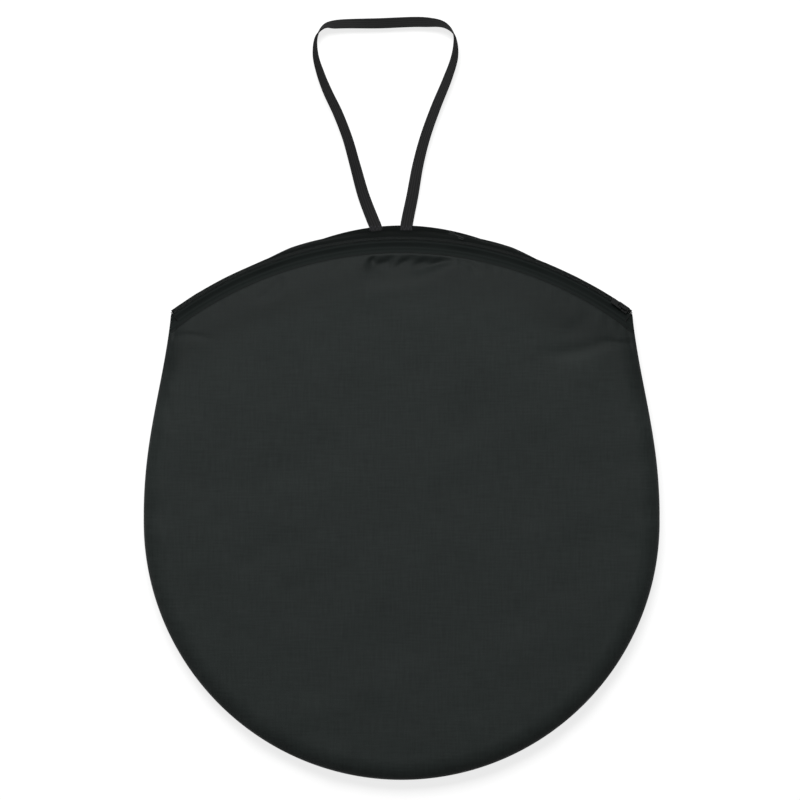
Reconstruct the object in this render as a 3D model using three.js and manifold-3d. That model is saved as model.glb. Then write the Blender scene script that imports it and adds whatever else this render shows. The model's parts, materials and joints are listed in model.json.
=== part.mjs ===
// A collapsible backdrop panel, twist-folded into three rings, in its round zipped carry bag.
// The bag lies on its back: +X to its right, +Y towards the carry strap, +Z up out of its front panel.
// Millimetres. The origin is under the middle of the round body, on the surface that the bag lies on.
import * as THREE from "three";
import { mergeVertices } from "three/addons/utils/BufferGeometryUtils.js";
import Module from "manifold-3d";

const wasm = await Module();
wasm.setup();

const { Vector2, Vector3, MathUtils } = THREE;
const { degToRad, clamp } = MathUtils;

// ---- Bag body ----
const BODY_RADIUS = 322.5; // the round lower part, in plan
const BAG_THICKNESS = 34;
const CLOTH = 1.2; // the nylon is thinner: this is the thickness of its solid
const EDGE_ROLL = 26; // the panels round over within this distance of the side seam
const SEAM_Z = BAG_THICKNESS / 2;
const SEAM_GAP = 0.3; // half the gap between the two panels' edges
const SIDE_START_Y = 8; // the sides leave the round body here and rise to the ears
const SIDE_HANDLES = [
  [322.5, 108],
  [297.5, 172],
];
const BINDING_WIDTH = 5;
const BINDING_THICKNESS = 1.8;

// ---- Zip: both halves run on arcs about one centre, at the height of the seam ----
const ZIP_CENTRE_Y = -133;
const ZIP_RADIUS = 487; // the line where the two coils meet
const EAR_ANGLE = 36.3; // degrees each side of +Y, where the zip ends in the side seams
const FLAP_ANGLE = 32.4; // the flap's half of the zip ends here, and its fixed ends start
const TACK_ANGLE = 35.98; // bar tacks cross the zip from here to the ear
const SPLIT = 0.2; // degrees between a fixed end of the front half and the flap
const COIL_GAP = 0.7; // from the meeting line to each coil
const COIL_WIDTH = 2.2;
const COIL_HEIGHT = 2.2;
const COIL_CHAMFER = [0.6, 0.7]; // off each coil's edges at the meeting line: across the zip, and in height
const TAPE_THICKNESS = 0.8;
const TAPE_FLAT = 1.8; // the flat stretch of tape beside the coil, inside the slider
const TAPE_DROP = 13; // the back half's tape turns down to the back panel
const FRONT_HEM_RADIUS = 470.5;
const MOUTH_FALL = 84; // the front panel falls towards the zip over this distance
const MOUTH_CURVE = 2.1;

// ---- Back panel's edge at the mouth ----
const BACK_BULGE = 16.5; // how far it stands past the zip in the middle
const BACK_CROSS_ANGLE = 19.2; // where it passes under the zip
const BACK_TUCK = 6;

// ---- Mouth flap ----
const HINGE_Y = 262;
const HINGE_GAP = 0.3;
const FLAP_HALF_WIDTH = 250;

// ---- Slider and pull ----
const SLIDER_ANGLE = 34.6; // parked at the right-hand ear
const SLIDER_LENGTH = 15;
const SLIDER_HALF_WIDTH = 4.2;
const SLIDER_PLATE = 1.2;
const SLIDER_SLOT = 3.6; // between the two plates
const SLIDER_WEB = 0.5;
const BAIL_WIDTH = 1.8;
const BAIL_LENGTH = 9.6;
const BAIL_LEG = 1.3;
const BAIL_OPENING = 2.8;
const BAIL_TOP = 1;
const PULL_LENGTH = 15;
const PULL_WIDTH = 7;
const PULL_THICKNESS = 1.4;
const PULL_SLOT_END = 5;
const PULL_SLOT_WIDTH = 3.4;
const PULL_SETBACK = 2.4; // the pull's crossbar lies this far along from the slider's middle

// ---- Carry strap ----
const STRAP_WIDTH = 15.5;
const STRAP_THICKNESS = 1.6;
const STRAP_STATIONS = 84;
const STRAP_REST_Z = 2.4; // the sewn ends lie on the back panel's hem
const STRAP_END_Y = 362.5; // they reach in under the zip tape
const STRAP_HINGE_Y = 371; // the loop bends here, just past the back panel's edge
const STRAP_SPLIT = 0.3; // between a sewn end and the loop
const STRAP_ROOT = 14; // the loop's sections turn from square across the hinge to square across the strap
const STRAP_CLEARANCE = 0.4; // the loop's lower edge above the surface
// Points of the loop's centre line from one sewn end to the other: x, y, and the roll about it in
// degrees. At 0 the webbing lies flat, at 90 it stands on edge with its outer edge up, and past 90 it
// leans over outwards.
const STRAP_ROUTE = [
  [-33.3, STRAP_HINGE_Y, 0],
  [-37, 380, 4],
  [-47.8, 408.6, 18],
  [-58.6, 447.4, 32],
  [-67.8, 480, 37],
  [-80.3, 512.4, 38],
  [-92.8, 538.6, 42],
  [-102, 562.4, 52],
  [-107.9, 585.4, 66],
  [-106.5, 607.4, 84],
  [-97, 619.8, 111],
  [-83.4, 622.8, 138],
  [-28, 624.3, 150],
  [29, 625.8, 148],
  [52.9, 622, 122],
  [64.8, 611, 92],
  [67.3, 598.6, 74],
  [66, 581, 56],
  [57.1, 554, 44],
  [42.6, 518.6, 38],
  [29.1, 480.5, 34],
  [20, 445, 28],
  [13.5, 408.6, 16],
  [7.4, 379, 4],
  [6.1, STRAP_HINGE_Y, 0],
];
const TACK_SIZE = [14, 3, 1]; // each strap end's row of stitching
const TACK_Y = 367.7;

// ---- Folded panel ----
const PACK_RADIUS = 303;
const WIRE_RADIUS = 2.5;
const FERRULE_INNER = 2.8;
const FERRULE_OUTER = 3.45;
const FERRULE_LENGTH = 32;
const FERRULE_STATION = 2; // it is crimped round the stretch of hoop after this station
const SLEEVE_INNER = 4;
const SLEEVE_OUTER = 4.8;
const SLEEVE_SLIT = 50; // degrees of the sleeve's section left open where the cloth leaves it
const TURNS = 3;
const STATIONS_PER_TURN = 32;
const LAY_RADIUS = 6.6; // the three turns lie round a ring of this section radius
const RING_RADIUS = PACK_RADIUS - LAY_RADIUS - SLEEVE_OUTER;
const PANEL_RADIUS = RING_RADIUS - LAY_RADIUS - SLEEVE_OUTER - 1.2;
const FOLD_SPACING = 8; // between the folded panel's layers
const FOLD_HALF_SPAN = 262; // from the middle to the centre of each fold
const SHEET_OFFSET = 0.9; // each of the two sheets, either side of the folded panel's middle
const SHEET_THICKNESS = 1.2;

const finishes = {
  nylon: { color: 0x2a2e2e, roughness: 0.82, metalness: 0 },
  binding: { color: 0x222424, roughness: 0.9, metalness: 0 },
  webbing: { color: 0x2b2b2c, roughness: 0.85, metalness: 0 },
  tape: { color: 0x1d1f1f, roughness: 0.9, metalness: 0 },
  coil: { color: 0x2c2d2e, roughness: 0.45, metalness: 0 },
  thread: { color: 0x1c1e1e, roughness: 0.7, metalness: 0 },
  slider: { color: 0x1e1f20, roughness: 0.35, metalness: 0.8 },
  steel: { color: 0x8a8d90, roughness: 0.35, metalness: 1 },
  sleeve: { color: 0x161616, roughness: 0.85, metalness: 0 },
  front_cloth: { color: 0x1a1a1b, roughness: 0.95, metalness: 0 },
  reverse_cloth: { color: 0xd9d9d6, roughness: 0.95, metalness: 0 },
};

const group = new THREE.Group();

function add(name, geometry, finish) {
  const mesh = new THREE.Mesh(geometry, new THREE.MeshStandardMaterial(finishes[finish]));
  mesh.name = name;
  group.add(mesh);
}

// ---- Closed solids from lists of points ----

function signedVolume(points, faces) {
  return faces.reduce((sum, [a, b, c]) => {
    const cross = new Vector3().crossVectors(points[b], points[c]);
    return sum + points[a].dot(cross) / 6;
  }, 0);
}

function solid(points, faces) {
  const outward = signedVolume(points, faces) > 0;
  const geometry = new THREE.BufferGeometry().setFromPoints(points);
  geometry.setIndex(faces.flatMap(([a, b, c]) => (outward ? [a, b, c] : [a, c, b])));
  geometry.computeVertexNormals();
  return geometry;
}

// The triangles that fill a flat loop of points, seen along its thinnest direction.
function fill(loop) {
  const normal = new Vector3();
  loop.forEach((p, i) => {
    const q = loop[(i + 1) % loop.length];
    normal.add(new Vector3().crossVectors(p, q));
  });
  const size = normal.toArray().map(Math.abs);
  const drop = size.indexOf(Math.max(...size));
  const kept = [0, 1, 2].filter((axis) => axis !== drop);
  const flat = loop.map((p) => new Vector2(p.getComponent(kept[0]), p.getComponent(kept[1])));
  const wasClockwise = THREE.ShapeUtils.isClockWise(flat);
  const order = flat.map((_, i) => (wasClockwise ? flat.length - 1 - i : i));
  const faces = THREE.ShapeUtils.triangulateShape(order.map((i) => flat[i]), []);
  return faces.map((face) => {
    const [a, b, c] = face.map((i) => order[i]);
    return wasClockwise ? [a, c, b] : [a, b, c];
  });
}

// A solid through matching loops, capped at its two ends or, when joined, closed on itself.
function loft(loops, joined = false) {
  const count = loops[0].length;
  const faces = [];
  const last = joined ? loops.length : loops.length - 1;
  for (let i = 0; i < last; i++) {
    const here = i * count;
    const next = ((i + 1) % loops.length) * count;
    for (let j = 0; j < count; j++) {
      const k = (j + 1) % count;
      faces.push([here + j, next + k, next + j], [here + j, here + k, next + k]);
    }
  }
  if (!joined) {
    const end = (loops.length - 1) * count;
    fill(loops[0]).forEach(([a, b, c]) => faces.push([a, c, b]));
    fill(loops.at(-1)).forEach(([a, b, c]) => faces.push([end + a, end + b, end + c]));
  }
  const flipped = capsFaceTheWrongWay(loops) && !joined;
  return solid(loops.flat(), flipped ? turnCaps(faces, last * count * 2) : faces);
}

// The wall's faces turn one way round the loop; a cap has to agree with them.
function capsFaceTheWrongWay(loops) {
  const [a, b, c] = fill(loops[0])[0].map((i) => loops[0][i]);
  const capNormal = new Vector3().crossVectors(b.clone().sub(a), c.clone().sub(a));
  const area = new Vector3();
  loops[0].forEach((p, i) => {
    area.add(new Vector3().crossVectors(p, loops[0][(i + 1) % loops[0].length]));
  });
  return capNormal.dot(area) < 0;
}

function turnCaps(faces, wallCount) {
  return faces.map(([a, b, c], i) => (i < wallCount ? [a, b, c] : [a, c, b]));
}

// ---- Plan curves ----

// A point on an arc about the zip's centre, at an angle in degrees from +Y towards +X.
function onArc(radius, angle, z = SEAM_Z) {
  const turn = degToRad(angle);
  return new Vector3(radius * Math.sin(turn), ZIP_CENTRE_Y + radius * Math.cos(turn), z);
}

function steps(from, to, count) {
  return Array.from({ length: count + 1 }, (_, i) => from + ((to - from) * i) / count);
}

// The side seam in plan, from the right-hand ear round the bottom to the left-hand ear.
function rimCurve() {
  const ear = onArc(ZIP_RADIUS, EAR_ANGLE);
  const handles = SIDE_HANDLES.map(([x, y]) => new Vector2(x, y));
  const side = new THREE.CubicBezierCurve(
    new Vector2(ear.x, ear.y),
    handles[1],
    handles[0],
    new Vector2(BODY_RADIUS, SIDE_START_Y),
  ).getPoints(12);
  const bottom = steps(0, -180, 40)
    .slice(1, -1)
    .map((angle) => degToRad(angle))
    .map((angle) => new Vector2(BODY_RADIUS * Math.cos(angle), BODY_RADIUS * Math.sin(angle)));
  const otherSide = side.map((p) => new Vector2(-p.x, p.y)).reverse();
  return [...side, ...bottom, ...otherSide];
}

const rim = rimCurve();

function rimDistance(x, y) {
  const point = new Vector3(x, y, 0);
  const nearest = new Vector3();
  let best = Infinity;
  for (let i = 1; i < rim.length; i++) {
    const [a, b] = [rim[i - 1], rim[i]].map((p) => new Vector3(p.x, p.y, 0));
    new THREE.Line3(a, b).closestPointToPoint(point, true, nearest);
    best = Math.min(best, nearest.distanceTo(point));
  }
  return best;
}

// The height of a quarter round, from 0 at its foot to 1.
function quarterRound(share) {
  return Math.sqrt(1 - (1 - clamp(share, 0, 1)) ** 2);
}

function roll(x, y, inset) {
  return quarterRound((rimDistance(x, y) - inset) / (EDGE_ROLL - inset));
}

// 0 at the zip and 1 where the front panel has reached its full height.
function mouthRise(x, y) {
  const fromZip = ZIP_RADIUS - Math.hypot(x, y - ZIP_CENTRE_Y);
  return 1 - (1 - clamp(fromZip / MOUTH_FALL, 0, 1)) ** MOUTH_CURVE;
}

// inset is 0 on the outer face and the cloth's thickness on the inner face.
function frontZ(x, y, inset = 0) {
  const rise = (BAG_THICKNESS - SEAM_Z) * mouthRise(x, y) - inset;
  return SEAM_Z + SEAM_GAP + rise * roll(x, y, inset);
}

function backZ(x, y, inset = 0) {
  const foot = SEAM_Z - SEAM_GAP;
  return foot - (foot - inset) * roll(x, y, inset);
}

// ---- Panels ----

// A panel over a plan outline: rings of points from the outline to the middle, on two faces.
function shell(outline, height) {
  const outer = [0, 2, 7, 15, EDGE_ROLL, 120];
  const faceRings = (inset) =>
    outer.map((distance) =>
      outline.map((p) => {
        const length = p.length();
        const onRim = rimDistance(p.x, p.y) < 0.01;
        const start = onRim ? inset : 0;
        const reach = start + (distance * (EDGE_ROLL - start)) / EDGE_ROLL;
        const scale = 1 - Math.min(reach, length) / length;
        const [x, y] = [p.x * scale, p.y * scale];
        return new Vector3(x, y, height(x, y, inset));
      }),
    );
  const points = [];
  const faces = [];
  const count = outline.length;
  [0, CLOTH].forEach((inset, side) => {
    const base = points.length;
    const rings = faceRings(inset);
    points.push(...rings.flat(), new Vector3(0, 0, height(0, 0, inset)));
    const turned = (a, b, c) => faces.push(side ? [a, c, b] : [a, b, c]);
    for (let j = 0; j < count; j++) {
      const k = (j + 1) % count;
      for (let i = 0; i + 1 < rings.length; i++) {
        const [here, next] = [base + i * count, base + (i + 1) * count];
        turned(here + j, here + k, next + k);
        turned(here + j, next + k, next + j);
      }
      const inner = base + (rings.length - 1) * count;
      turned(inner + j, inner + k, base + rings.length * count);
    }
  });
  const inside = outer.length * count + 1;
  for (let j = 0; j < count; j++) {
    const k = (j + 1) % count;
    faces.push([j, inside + j, inside + k], [j, inside + k, k]);
  }
  return solid(points, faces);
}

function backEdgeOffset(angle) {
  const size = Math.abs(angle);
  if (size < BACK_CROSS_ANGLE) return BACK_BULGE * Math.cos((Math.PI / 2) * (size / BACK_CROSS_ANGLE));
  const past = (size - BACK_CROSS_ANGLE) / (EAR_ANGLE - BACK_CROSS_ANGLE);
  return -BACK_TUCK * Math.sin(Math.PI * past);
}

function backPanel() {
  const mouth = steps(-EAR_ANGLE, EAR_ANGLE, 24)
    .slice(1, -1)
    .map((angle) => onArc(ZIP_RADIUS + backEdgeOffset(angle), angle))
    .map((p) => new Vector2(p.x, p.y));
  return shell([...rim, ...mouth], backZ);
}

function fromZipCentre(p) {
  return Math.hypot(p.x, p.y - ZIP_CENTRE_Y);
}

// The angle from +Y, in degrees, at which a point is seen from the zip's centre.
function zipAngle(p) {
  return MathUtils.radToDeg(Math.atan2(p.x, p.y - ZIP_CENTRE_Y));
}

// Where the right-hand side seam crosses the front hem's arc.
function hemCorner() {
  const next = rim.findIndex((p) => fromZipCentre(p) < FRONT_HEM_RADIUS);
  const [above, below] = [rim[next - 1], rim[next]];
  const [far, near] = [fromZipCentre(above), fromZipCentre(below)];
  return above.clone().lerp(below, (far - FRONT_HEM_RADIUS) / (far - near));
}

// The front panel stops at the hem arc beside the ears and at the flap's hinge line between them.
function frontPanel() {
  const seam = rim.filter((p) => fromZipCentre(p) < FRONT_HEM_RADIUS);
  const corner = hemCorner();
  const top = HINGE_Y - HINGE_GAP;
  const lineEnd = Math.sqrt(FRONT_HEM_RADIUS ** 2 - (top - ZIP_CENTRE_Y) ** 2);
  const innerAngle = zipAngle(new Vector2(lineEnd, top));
  const rightHem = steps(innerAngle, zipAngle(corner), 3)
    .slice(0, -1)
    .map((angle) => onArc(FRONT_HEM_RADIUS, angle))
    .map((p) => new Vector2(p.x, p.y));
  const leftHem = rightHem.map((p) => new Vector2(-p.x, p.y)).reverse();
  const line = steps(-lineEnd, lineEnd, 12)
    .slice(1, -1)
    .map((x) => new Vector2(x, top));
  const leftCorner = new Vector2(-corner.x, corner.y);
  return shell([corner, ...seam, leftCorner, ...leftHem, ...line, ...rightHem], frontZ);
}

function mouthFlap() {
  const bottom = HINGE_Y + HINGE_GAP;
  const loops = steps(-FLAP_HALF_WIDTH, FLAP_HALF_WIDTH, 30).map((x) => {
    const top = ZIP_CENTRE_Y + Math.sqrt(FRONT_HEM_RADIUS ** 2 - x ** 2);
    const rows = steps(bottom, top, 4);
    const outer = rows.map((y) => new Vector3(x, y, frontZ(x, y)));
    const inner = rows.map((y) => new Vector3(x, y, frontZ(x, y) - CLOTH));
    return [...outer, ...inner.reverse()];
  });
  return loft(loops);
}

function seamBinding() {
  const first = CLOTH + 0.5;
  const loops = rim.slice(2, -2).map((p) => {
    const inward = p.clone().negate().normalize();
    const corner = (reach, z) =>
      new Vector3(p.x + inward.x * reach, p.y + inward.y * reach, z);
    const [low, high] = [SEAM_Z - BINDING_THICKNESS / 2, SEAM_Z + BINDING_THICKNESS / 2];
    const far = first + BINDING_WIDTH;
    return [corner(first, low), corner(first, high), corner(far, high), corner(far, low)];
  });
  return loft(loops);
}

// ---- Zip ----

// A solid whose section, a list of [radius, height] at each angle, runs along the zip's arc.
function alongZip(from, to, count, sectionAt) {
  const loops = steps(from, to, count).map((angle) =>
    sectionAt(angle).map(([radius, z]) => onArc(radius, angle, z)),
  );
  return loft(loops);
}

function rectangle(inner, outer, low, high) {
  return [
    [inner, low],
    [outer, low],
    [outer, high],
    [inner, high],
  ];
}

function coil(side, from, to, count) {
  const near = ZIP_RADIUS + side * COIL_GAP;
  const far = near + side * COIL_WIDTH;
  const [cut, drop] = COIL_CHAMFER;
  const [low, high] = [SEAM_Z - COIL_HEIGHT / 2, SEAM_Z + COIL_HEIGHT / 2];
  const section = [
    [far, low],
    [near + side * cut, low],
    [near, low + drop],
    [near, high - drop],
    [near + side * cut, high],
    [far, high],
  ];
  return alongZip(from, to, count, () => section);
}

const TAPE_START = COIL_GAP + COIL_WIDTH + 0.3; // from the meeting line to each tape

function frontTape(from, to, count) {
  const start = ZIP_RADIUS - TAPE_START;
  const bend = start - TAPE_FLAT;
  const end = FRONT_HEM_RADIUS + 0.4;
  const half = TAPE_THICKNESS / 2;
  return alongZip(from, to, count, (angle) => {
    const hem = onArc(FRONT_HEM_RADIUS, angle);
    const hemZ = frontZ(hem.x, hem.y) - CLOTH / 2;
    return [
      [end, hemZ - half],
      [bend, SEAM_Z - half],
      [start, SEAM_Z - half],
      [start, SEAM_Z + half],
      [bend, SEAM_Z + half],
      [end, hemZ + half],
    ];
  });
}

// The back half's tape turns down beside the slider's path and leans in under it near the ears.
function backTape() {
  const start = ZIP_RADIUS + TAPE_START;
  const bend = start + TAPE_FLAT + 0.6;
  const half = TAPE_THICKNESS / 2;
  const lean = (angle) => 5 - 7 * (angle / EAR_ANGLE) ** 2;
  return alongZip(-TACK_ANGLE + SPLIT, TACK_ANGLE - SPLIT, 44, (angle) => {
    const foot = onArc(bend + lean(angle), angle);
    const floor = backZ(foot.x, foot.y, CLOTH) + 1.2;
    const low = clamp(floor, SEAM_Z - TAPE_DROP, SEAM_Z - 2);
    const reach = lean(angle) * ((SEAM_Z - low) / TAPE_DROP);
    return [
      [start, SEAM_Z - half],
      [bend - half, SEAM_Z - half],
      [bend - half + reach, low],
      [bend + half + reach, low],
      [bend + half, SEAM_Z + half],
      [start, SEAM_Z + half],
    ];
  });
}

function endTack(side) {
  const [from, to] = [TACK_ANGLE, EAR_ANGLE].map((angle) => angle * side);
  const section = rectangle(FRONT_HEM_RADIUS + 2, ZIP_RADIUS + 2, SEAM_Z + 0.3, SEAM_Z + 2.5);
  return alongZip(Math.min(from, to), Math.max(from, to), 1, () => section);
}

// ---- Slider and pull ----

const MM_PER_DEGREE = degToRad(1) * ZIP_RADIUS;

function sliderBody() {
  const half = SLIDER_LENGTH / 2 / MM_PER_DEGREE;
  const [inner, outer] = [ZIP_RADIUS - SLIDER_HALF_WIDTH, ZIP_RADIUS + SLIDER_HALF_WIDTH];
  const [webInner, webOuter] = [ZIP_RADIUS - SLIDER_WEB / 2, ZIP_RADIUS + SLIDER_WEB / 2];
  const [slotLow, slotHigh] = [SEAM_Z - SLIDER_SLOT / 2, SEAM_Z + SLIDER_SLOT / 2];
  const section = [
    [inner, slotLow - SLIDER_PLATE],
    [outer, slotLow - SLIDER_PLATE],
    [outer, slotLow],
    [webOuter, slotLow],
    [webOuter, slotHigh],
    [outer, slotHigh],
    [outer, slotHigh + SLIDER_PLATE],
    [inner, slotHigh + SLIDER_PLATE],
    [inner, slotHigh],
    [webInner, slotHigh],
    [webInner, slotLow],
    [inner, slotLow],
  ];
  return alongZip(SLIDER_ANGLE - half, SLIDER_ANGLE + half, 6, () => section);
}

const SLIDER_TOP = SEAM_Z + SLIDER_SLOT / 2 + SLIDER_PLATE;
const BAIL_FOOT = SLIDER_TOP + 0.05;
const PULL_Z = SLIDER_TOP + BAIL_OPENING / 2;

// Places a flat shape, drawn with x along the zip away from the ear and y across it, on the slider.
function onSlider(shape, depth, setback) {
  const geometry = new THREE.ExtrudeGeometry(shape, { depth, bevelEnabled: false, curveSegments: 6 });
  geometry.rotateZ(Math.PI - degToRad(SLIDER_ANGLE));
  const place = onArc(ZIP_RADIUS, SLIDER_ANGLE - setback / MM_PER_DEGREE, 0);
  return geometry.translate(place.x, place.y, 0);
}

// The bail: an arch over the slider, under which the pull's crossbar turns.
function sliderBail() {
  const half = BAIL_LENGTH / 2;
  const height = BAIL_OPENING + BAIL_TOP;
  const arch = new THREE.Shape();
  arch.moveTo(-half, 0);
  arch.lineTo(-half + BAIL_LEG, 0);
  arch.lineTo(-half + BAIL_LEG, BAIL_OPENING);
  arch.lineTo(half - BAIL_LEG, BAIL_OPENING);
  arch.lineTo(half - BAIL_LEG, 0);
  arch.lineTo(half, 0);
  arch.lineTo(half, height - 0.8);
  arch.lineTo(half - 0.8, height);
  arch.lineTo(-half + 0.8, height);
  arch.lineTo(-half, height - 0.8);
  const geometry = new THREE.ExtrudeGeometry(arch, { depth: BAIL_WIDTH, bevelEnabled: false });
  geometry.translate(0, 0, -BAIL_WIDTH / 2);
  geometry.rotateX(Math.PI / 2);
  geometry.rotateZ(-degToRad(SLIDER_ANGLE));
  const place = onArc(ZIP_RADIUS, SLIDER_ANGLE, BAIL_FOOT);
  return geometry.translate(place.x, place.y, place.z);
}

function pullTab() {
  const bar = PULL_THICKNESS / 2;
  const half = PULL_WIDTH / 2;
  const corner = 2.4;
  const plate = new THREE.Shape();
  plate.moveTo(-bar, -half);
  plate.lineTo(PULL_LENGTH - corner, -half);
  plate.quadraticCurveTo(PULL_LENGTH, -half, PULL_LENGTH, -half + corner);
  plate.lineTo(PULL_LENGTH, half - corner);
  plate.quadraticCurveTo(PULL_LENGTH, half, PULL_LENGTH - corner, half);
  plate.lineTo(-bar, half);
  const slot = new THREE.Path();
  slot.moveTo(bar, -PULL_SLOT_WIDTH / 2);
  slot.lineTo(bar, PULL_SLOT_WIDTH / 2);
  slot.lineTo(PULL_SLOT_END, PULL_SLOT_WIDTH / 2);
  slot.lineTo(PULL_SLOT_END, -PULL_SLOT_WIDTH / 2);
  plate.holes.push(slot);
  const geometry = onSlider(plate, PULL_THICKNESS, PULL_SETBACK);
  return geometry.translate(0, 0, PULL_Z - PULL_THICKNESS / 2);
}

// ---- Carry strap ----

// The sections at the two roots are cut along X, so that the loop turns about them clear of its sewn ends.
function carryStrap() {
  const route = STRAP_ROUTE.map(([x, y, rollAngle], i) => {
    const lift = (STRAP_WIDTH / 2) * Math.sin(degToRad(rollAngle)) + STRAP_THICKNESS / 2;
    const atEnd = i < 2 || i > STRAP_ROUTE.length - 3;
    return new Vector3(x, y, atEnd ? STRAP_REST_Z : lift + STRAP_CLEARANCE);
  });
  const centre = new THREE.CatmullRomCurve3(route);
  const rolls = new THREE.SplineCurve(STRAP_ROUTE.map(([, , angle], i) => new Vector2(i, angle)));
  const loops = steps(0, 1, STRAP_STATIONS).map((share) => {
    const point = centre.getPoint(share);
    const along = centre.getTangent(share);
    const outward = new Vector3(-along.y, along.x, 0).normalize();
    const up = new Vector3().crossVectors(along, outward).normalize();
    const angle = degToRad(rolls.getPoint(share).y);
    const across = outward.clone().multiplyScalar(Math.cos(angle)).addScaledVector(up, Math.sin(angle));
    const normal = new Vector3().crossVectors(along, across).normalize();
    const root = clamp(1 - (point.y - STRAP_HINGE_Y) / STRAP_ROOT, 0, 1);
    across.lerp(new Vector3(1 / outward.x, 0, 0), root);
    normal.lerp(new Vector3(0, 0, Math.sign(normal.z)), root);
    const corner = (a, b) =>
      point
        .clone()
        .addScaledVector(across, (a * STRAP_WIDTH) / 2)
        .addScaledVector(normal, (b * STRAP_THICKNESS) / 2);
    return [corner(-1, -1), corner(1, -1), corner(1, 1), corner(-1, 1)];
  });
  return loft(loops);
}

function strapEnd([x]) {
  const length = STRAP_HINGE_Y - STRAP_SPLIT - STRAP_END_Y;
  const geometry = new THREE.BoxGeometry(STRAP_WIDTH, length, STRAP_THICKNESS);
  return geometry.translate(x, STRAP_END_Y + length / 2, STRAP_REST_Z);
}

function strapTack([x]) {
  const [width, length, height] = TACK_SIZE;
  const top = STRAP_REST_Z + STRAP_THICKNESS / 2;
  return new THREE.BoxGeometry(width, length, height).translate(x, TACK_Y, top + 0.3 + height / 2);
}

// ---- Folded panel ----

// The hoop is one closed loop of wire that passes round the ring three times before it meets itself.
function hoopFrames() {
  const count = TURNS * STATIONS_PER_TURN;
  return Array.from({ length: count }, (_, i) => {
    const turn = (2 * Math.PI * i) / STATIONS_PER_TURN;
    const lay = turn / TURNS;
    const radius = RING_RADIUS + LAY_RADIUS * Math.cos(lay);
    const radial = new Vector3(Math.cos(turn), Math.sin(turn), 0);
    const centre = radial.clone().multiplyScalar(radius);
    centre.z = SEAM_Z + LAY_RADIUS * Math.sin(lay);
    return { centre, radial };
  });
}

function hoopLoops(frames, section) {
  return frames.map(({ centre, radial }) =>
    section.map(([out, up]) => centre.clone().addScaledVector(radial, out).add(new Vector3(0, 0, up))),
  );
}

function circleSection(radius, sides) {
  return steps(0, 360, sides)
    .slice(0, -1)
    .map((angle) => [radius * Math.cos(degToRad(angle)), radius * Math.sin(degToRad(angle))]);
}

// The sleeve's section is a ring left open on its inner side, where the panel's cloth runs out of it.
function sleeveSection() {
  const open = SLEEVE_SLIT / 2;
  const arc = (radius) =>
    steps(-180 + open, 180 - open, 6).map((angle) => [
      radius * Math.cos(degToRad(angle)),
      radius * Math.sin(degToRad(angle)),
    ]);
  return [...arc(SLEEVE_OUTER), ...arc(SLEEVE_INNER).reverse()];
}

function ferrule() {
  const [start, end] = hoopFrames().slice(FERRULE_STATION, FERRULE_STATION + 2);
  const share = FERRULE_LENGTH / start.centre.distanceTo(end.centre);
  const frames = [0.5 - share / 2, 0.5 + share / 2].map((at) => ({
    centre: start.centre.clone().lerp(end.centre, at),
    radial: start.radial.clone().lerp(end.radial, at).normalize(),
  }));
  const outer = hoopLoops(frames, circleSection(FERRULE_OUTER, 10));
  const inner = hoopLoops(frames, circleSection(FERRULE_INNER, 10)).reverse();
  return loft([...outer, ...inner], true);
}

function toManifold(geometry) {
  const bare = geometry.clone();
  bare.deleteAttribute("normal");
  bare.deleteAttribute("uv");
  const merged = mergeVertices(bare, 1e-3);
  return new wasm.Manifold(
    new wasm.Mesh({
      numProp: 3,
      vertProperties: new Float32Array(merged.attributes.position.array),
      triVerts: new Uint32Array(merged.index.array),
    }),
  );
}

function fromManifold(made) {
  const { vertProperties, triVerts } = made.getMesh();
  const geometry = new THREE.BufferGeometry();
  geometry.setAttribute("position", new THREE.BufferAttribute(vertProperties, 3));
  geometry.setIndex(new THREE.BufferAttribute(triVerts, 1));
  geometry.computeVertexNormals();
  return geometry;
}

// One of the panel's two sheets: three layers joined by two folds, cut to the ring's inside.
function foldedSheet(side) {
  const bend = FOLD_SPACING / 2;
  const path = (offset) => {
    const points = [[-FOLD_HALF_SPAN, -FOLD_SPACING + offset]];
    steps(-90, 90, 8).forEach((angle) => {
      const radius = bend - offset;
      const turn = degToRad(angle);
      points.push([FOLD_HALF_SPAN + radius * Math.cos(turn), -bend + radius * Math.sin(turn)]);
    });
    steps(270, 90, 8).forEach((angle) => {
      const radius = bend + offset;
      const turn = degToRad(angle);
      points.push([-FOLD_HALF_SPAN + radius * Math.cos(turn), bend + radius * Math.sin(turn)]);
    });
    points.push([FOLD_HALF_SPAN, FOLD_SPACING + offset]);
    return points;
  };
  const middle = side * SHEET_OFFSET;
  const outline = [
    ...path(middle - SHEET_THICKNESS / 2),
    ...path(middle + SHEET_THICKNESS / 2).reverse(),
  ];
  const shape = new THREE.Shape(outline.map(([x, z]) => new Vector2(x, z)));
  const depth = PANEL_RADIUS * 2 + 10;
  const strip = new THREE.ExtrudeGeometry(shape, { depth, bevelEnabled: false });
  strip.translate(0, 0, -depth / 2).rotateX(Math.PI / 2).translate(0, 0, SEAM_Z);
  const disc = new THREE.CylinderGeometry(PANEL_RADIUS, PANEL_RADIUS, BAG_THICKNESS, 48);
  disc.rotateX(Math.PI / 2).translate(0, 0, SEAM_Z);
  return fromManifold(toManifold(strip).intersect(toManifold(disc)));
}

// ---- Assembly ----

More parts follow.
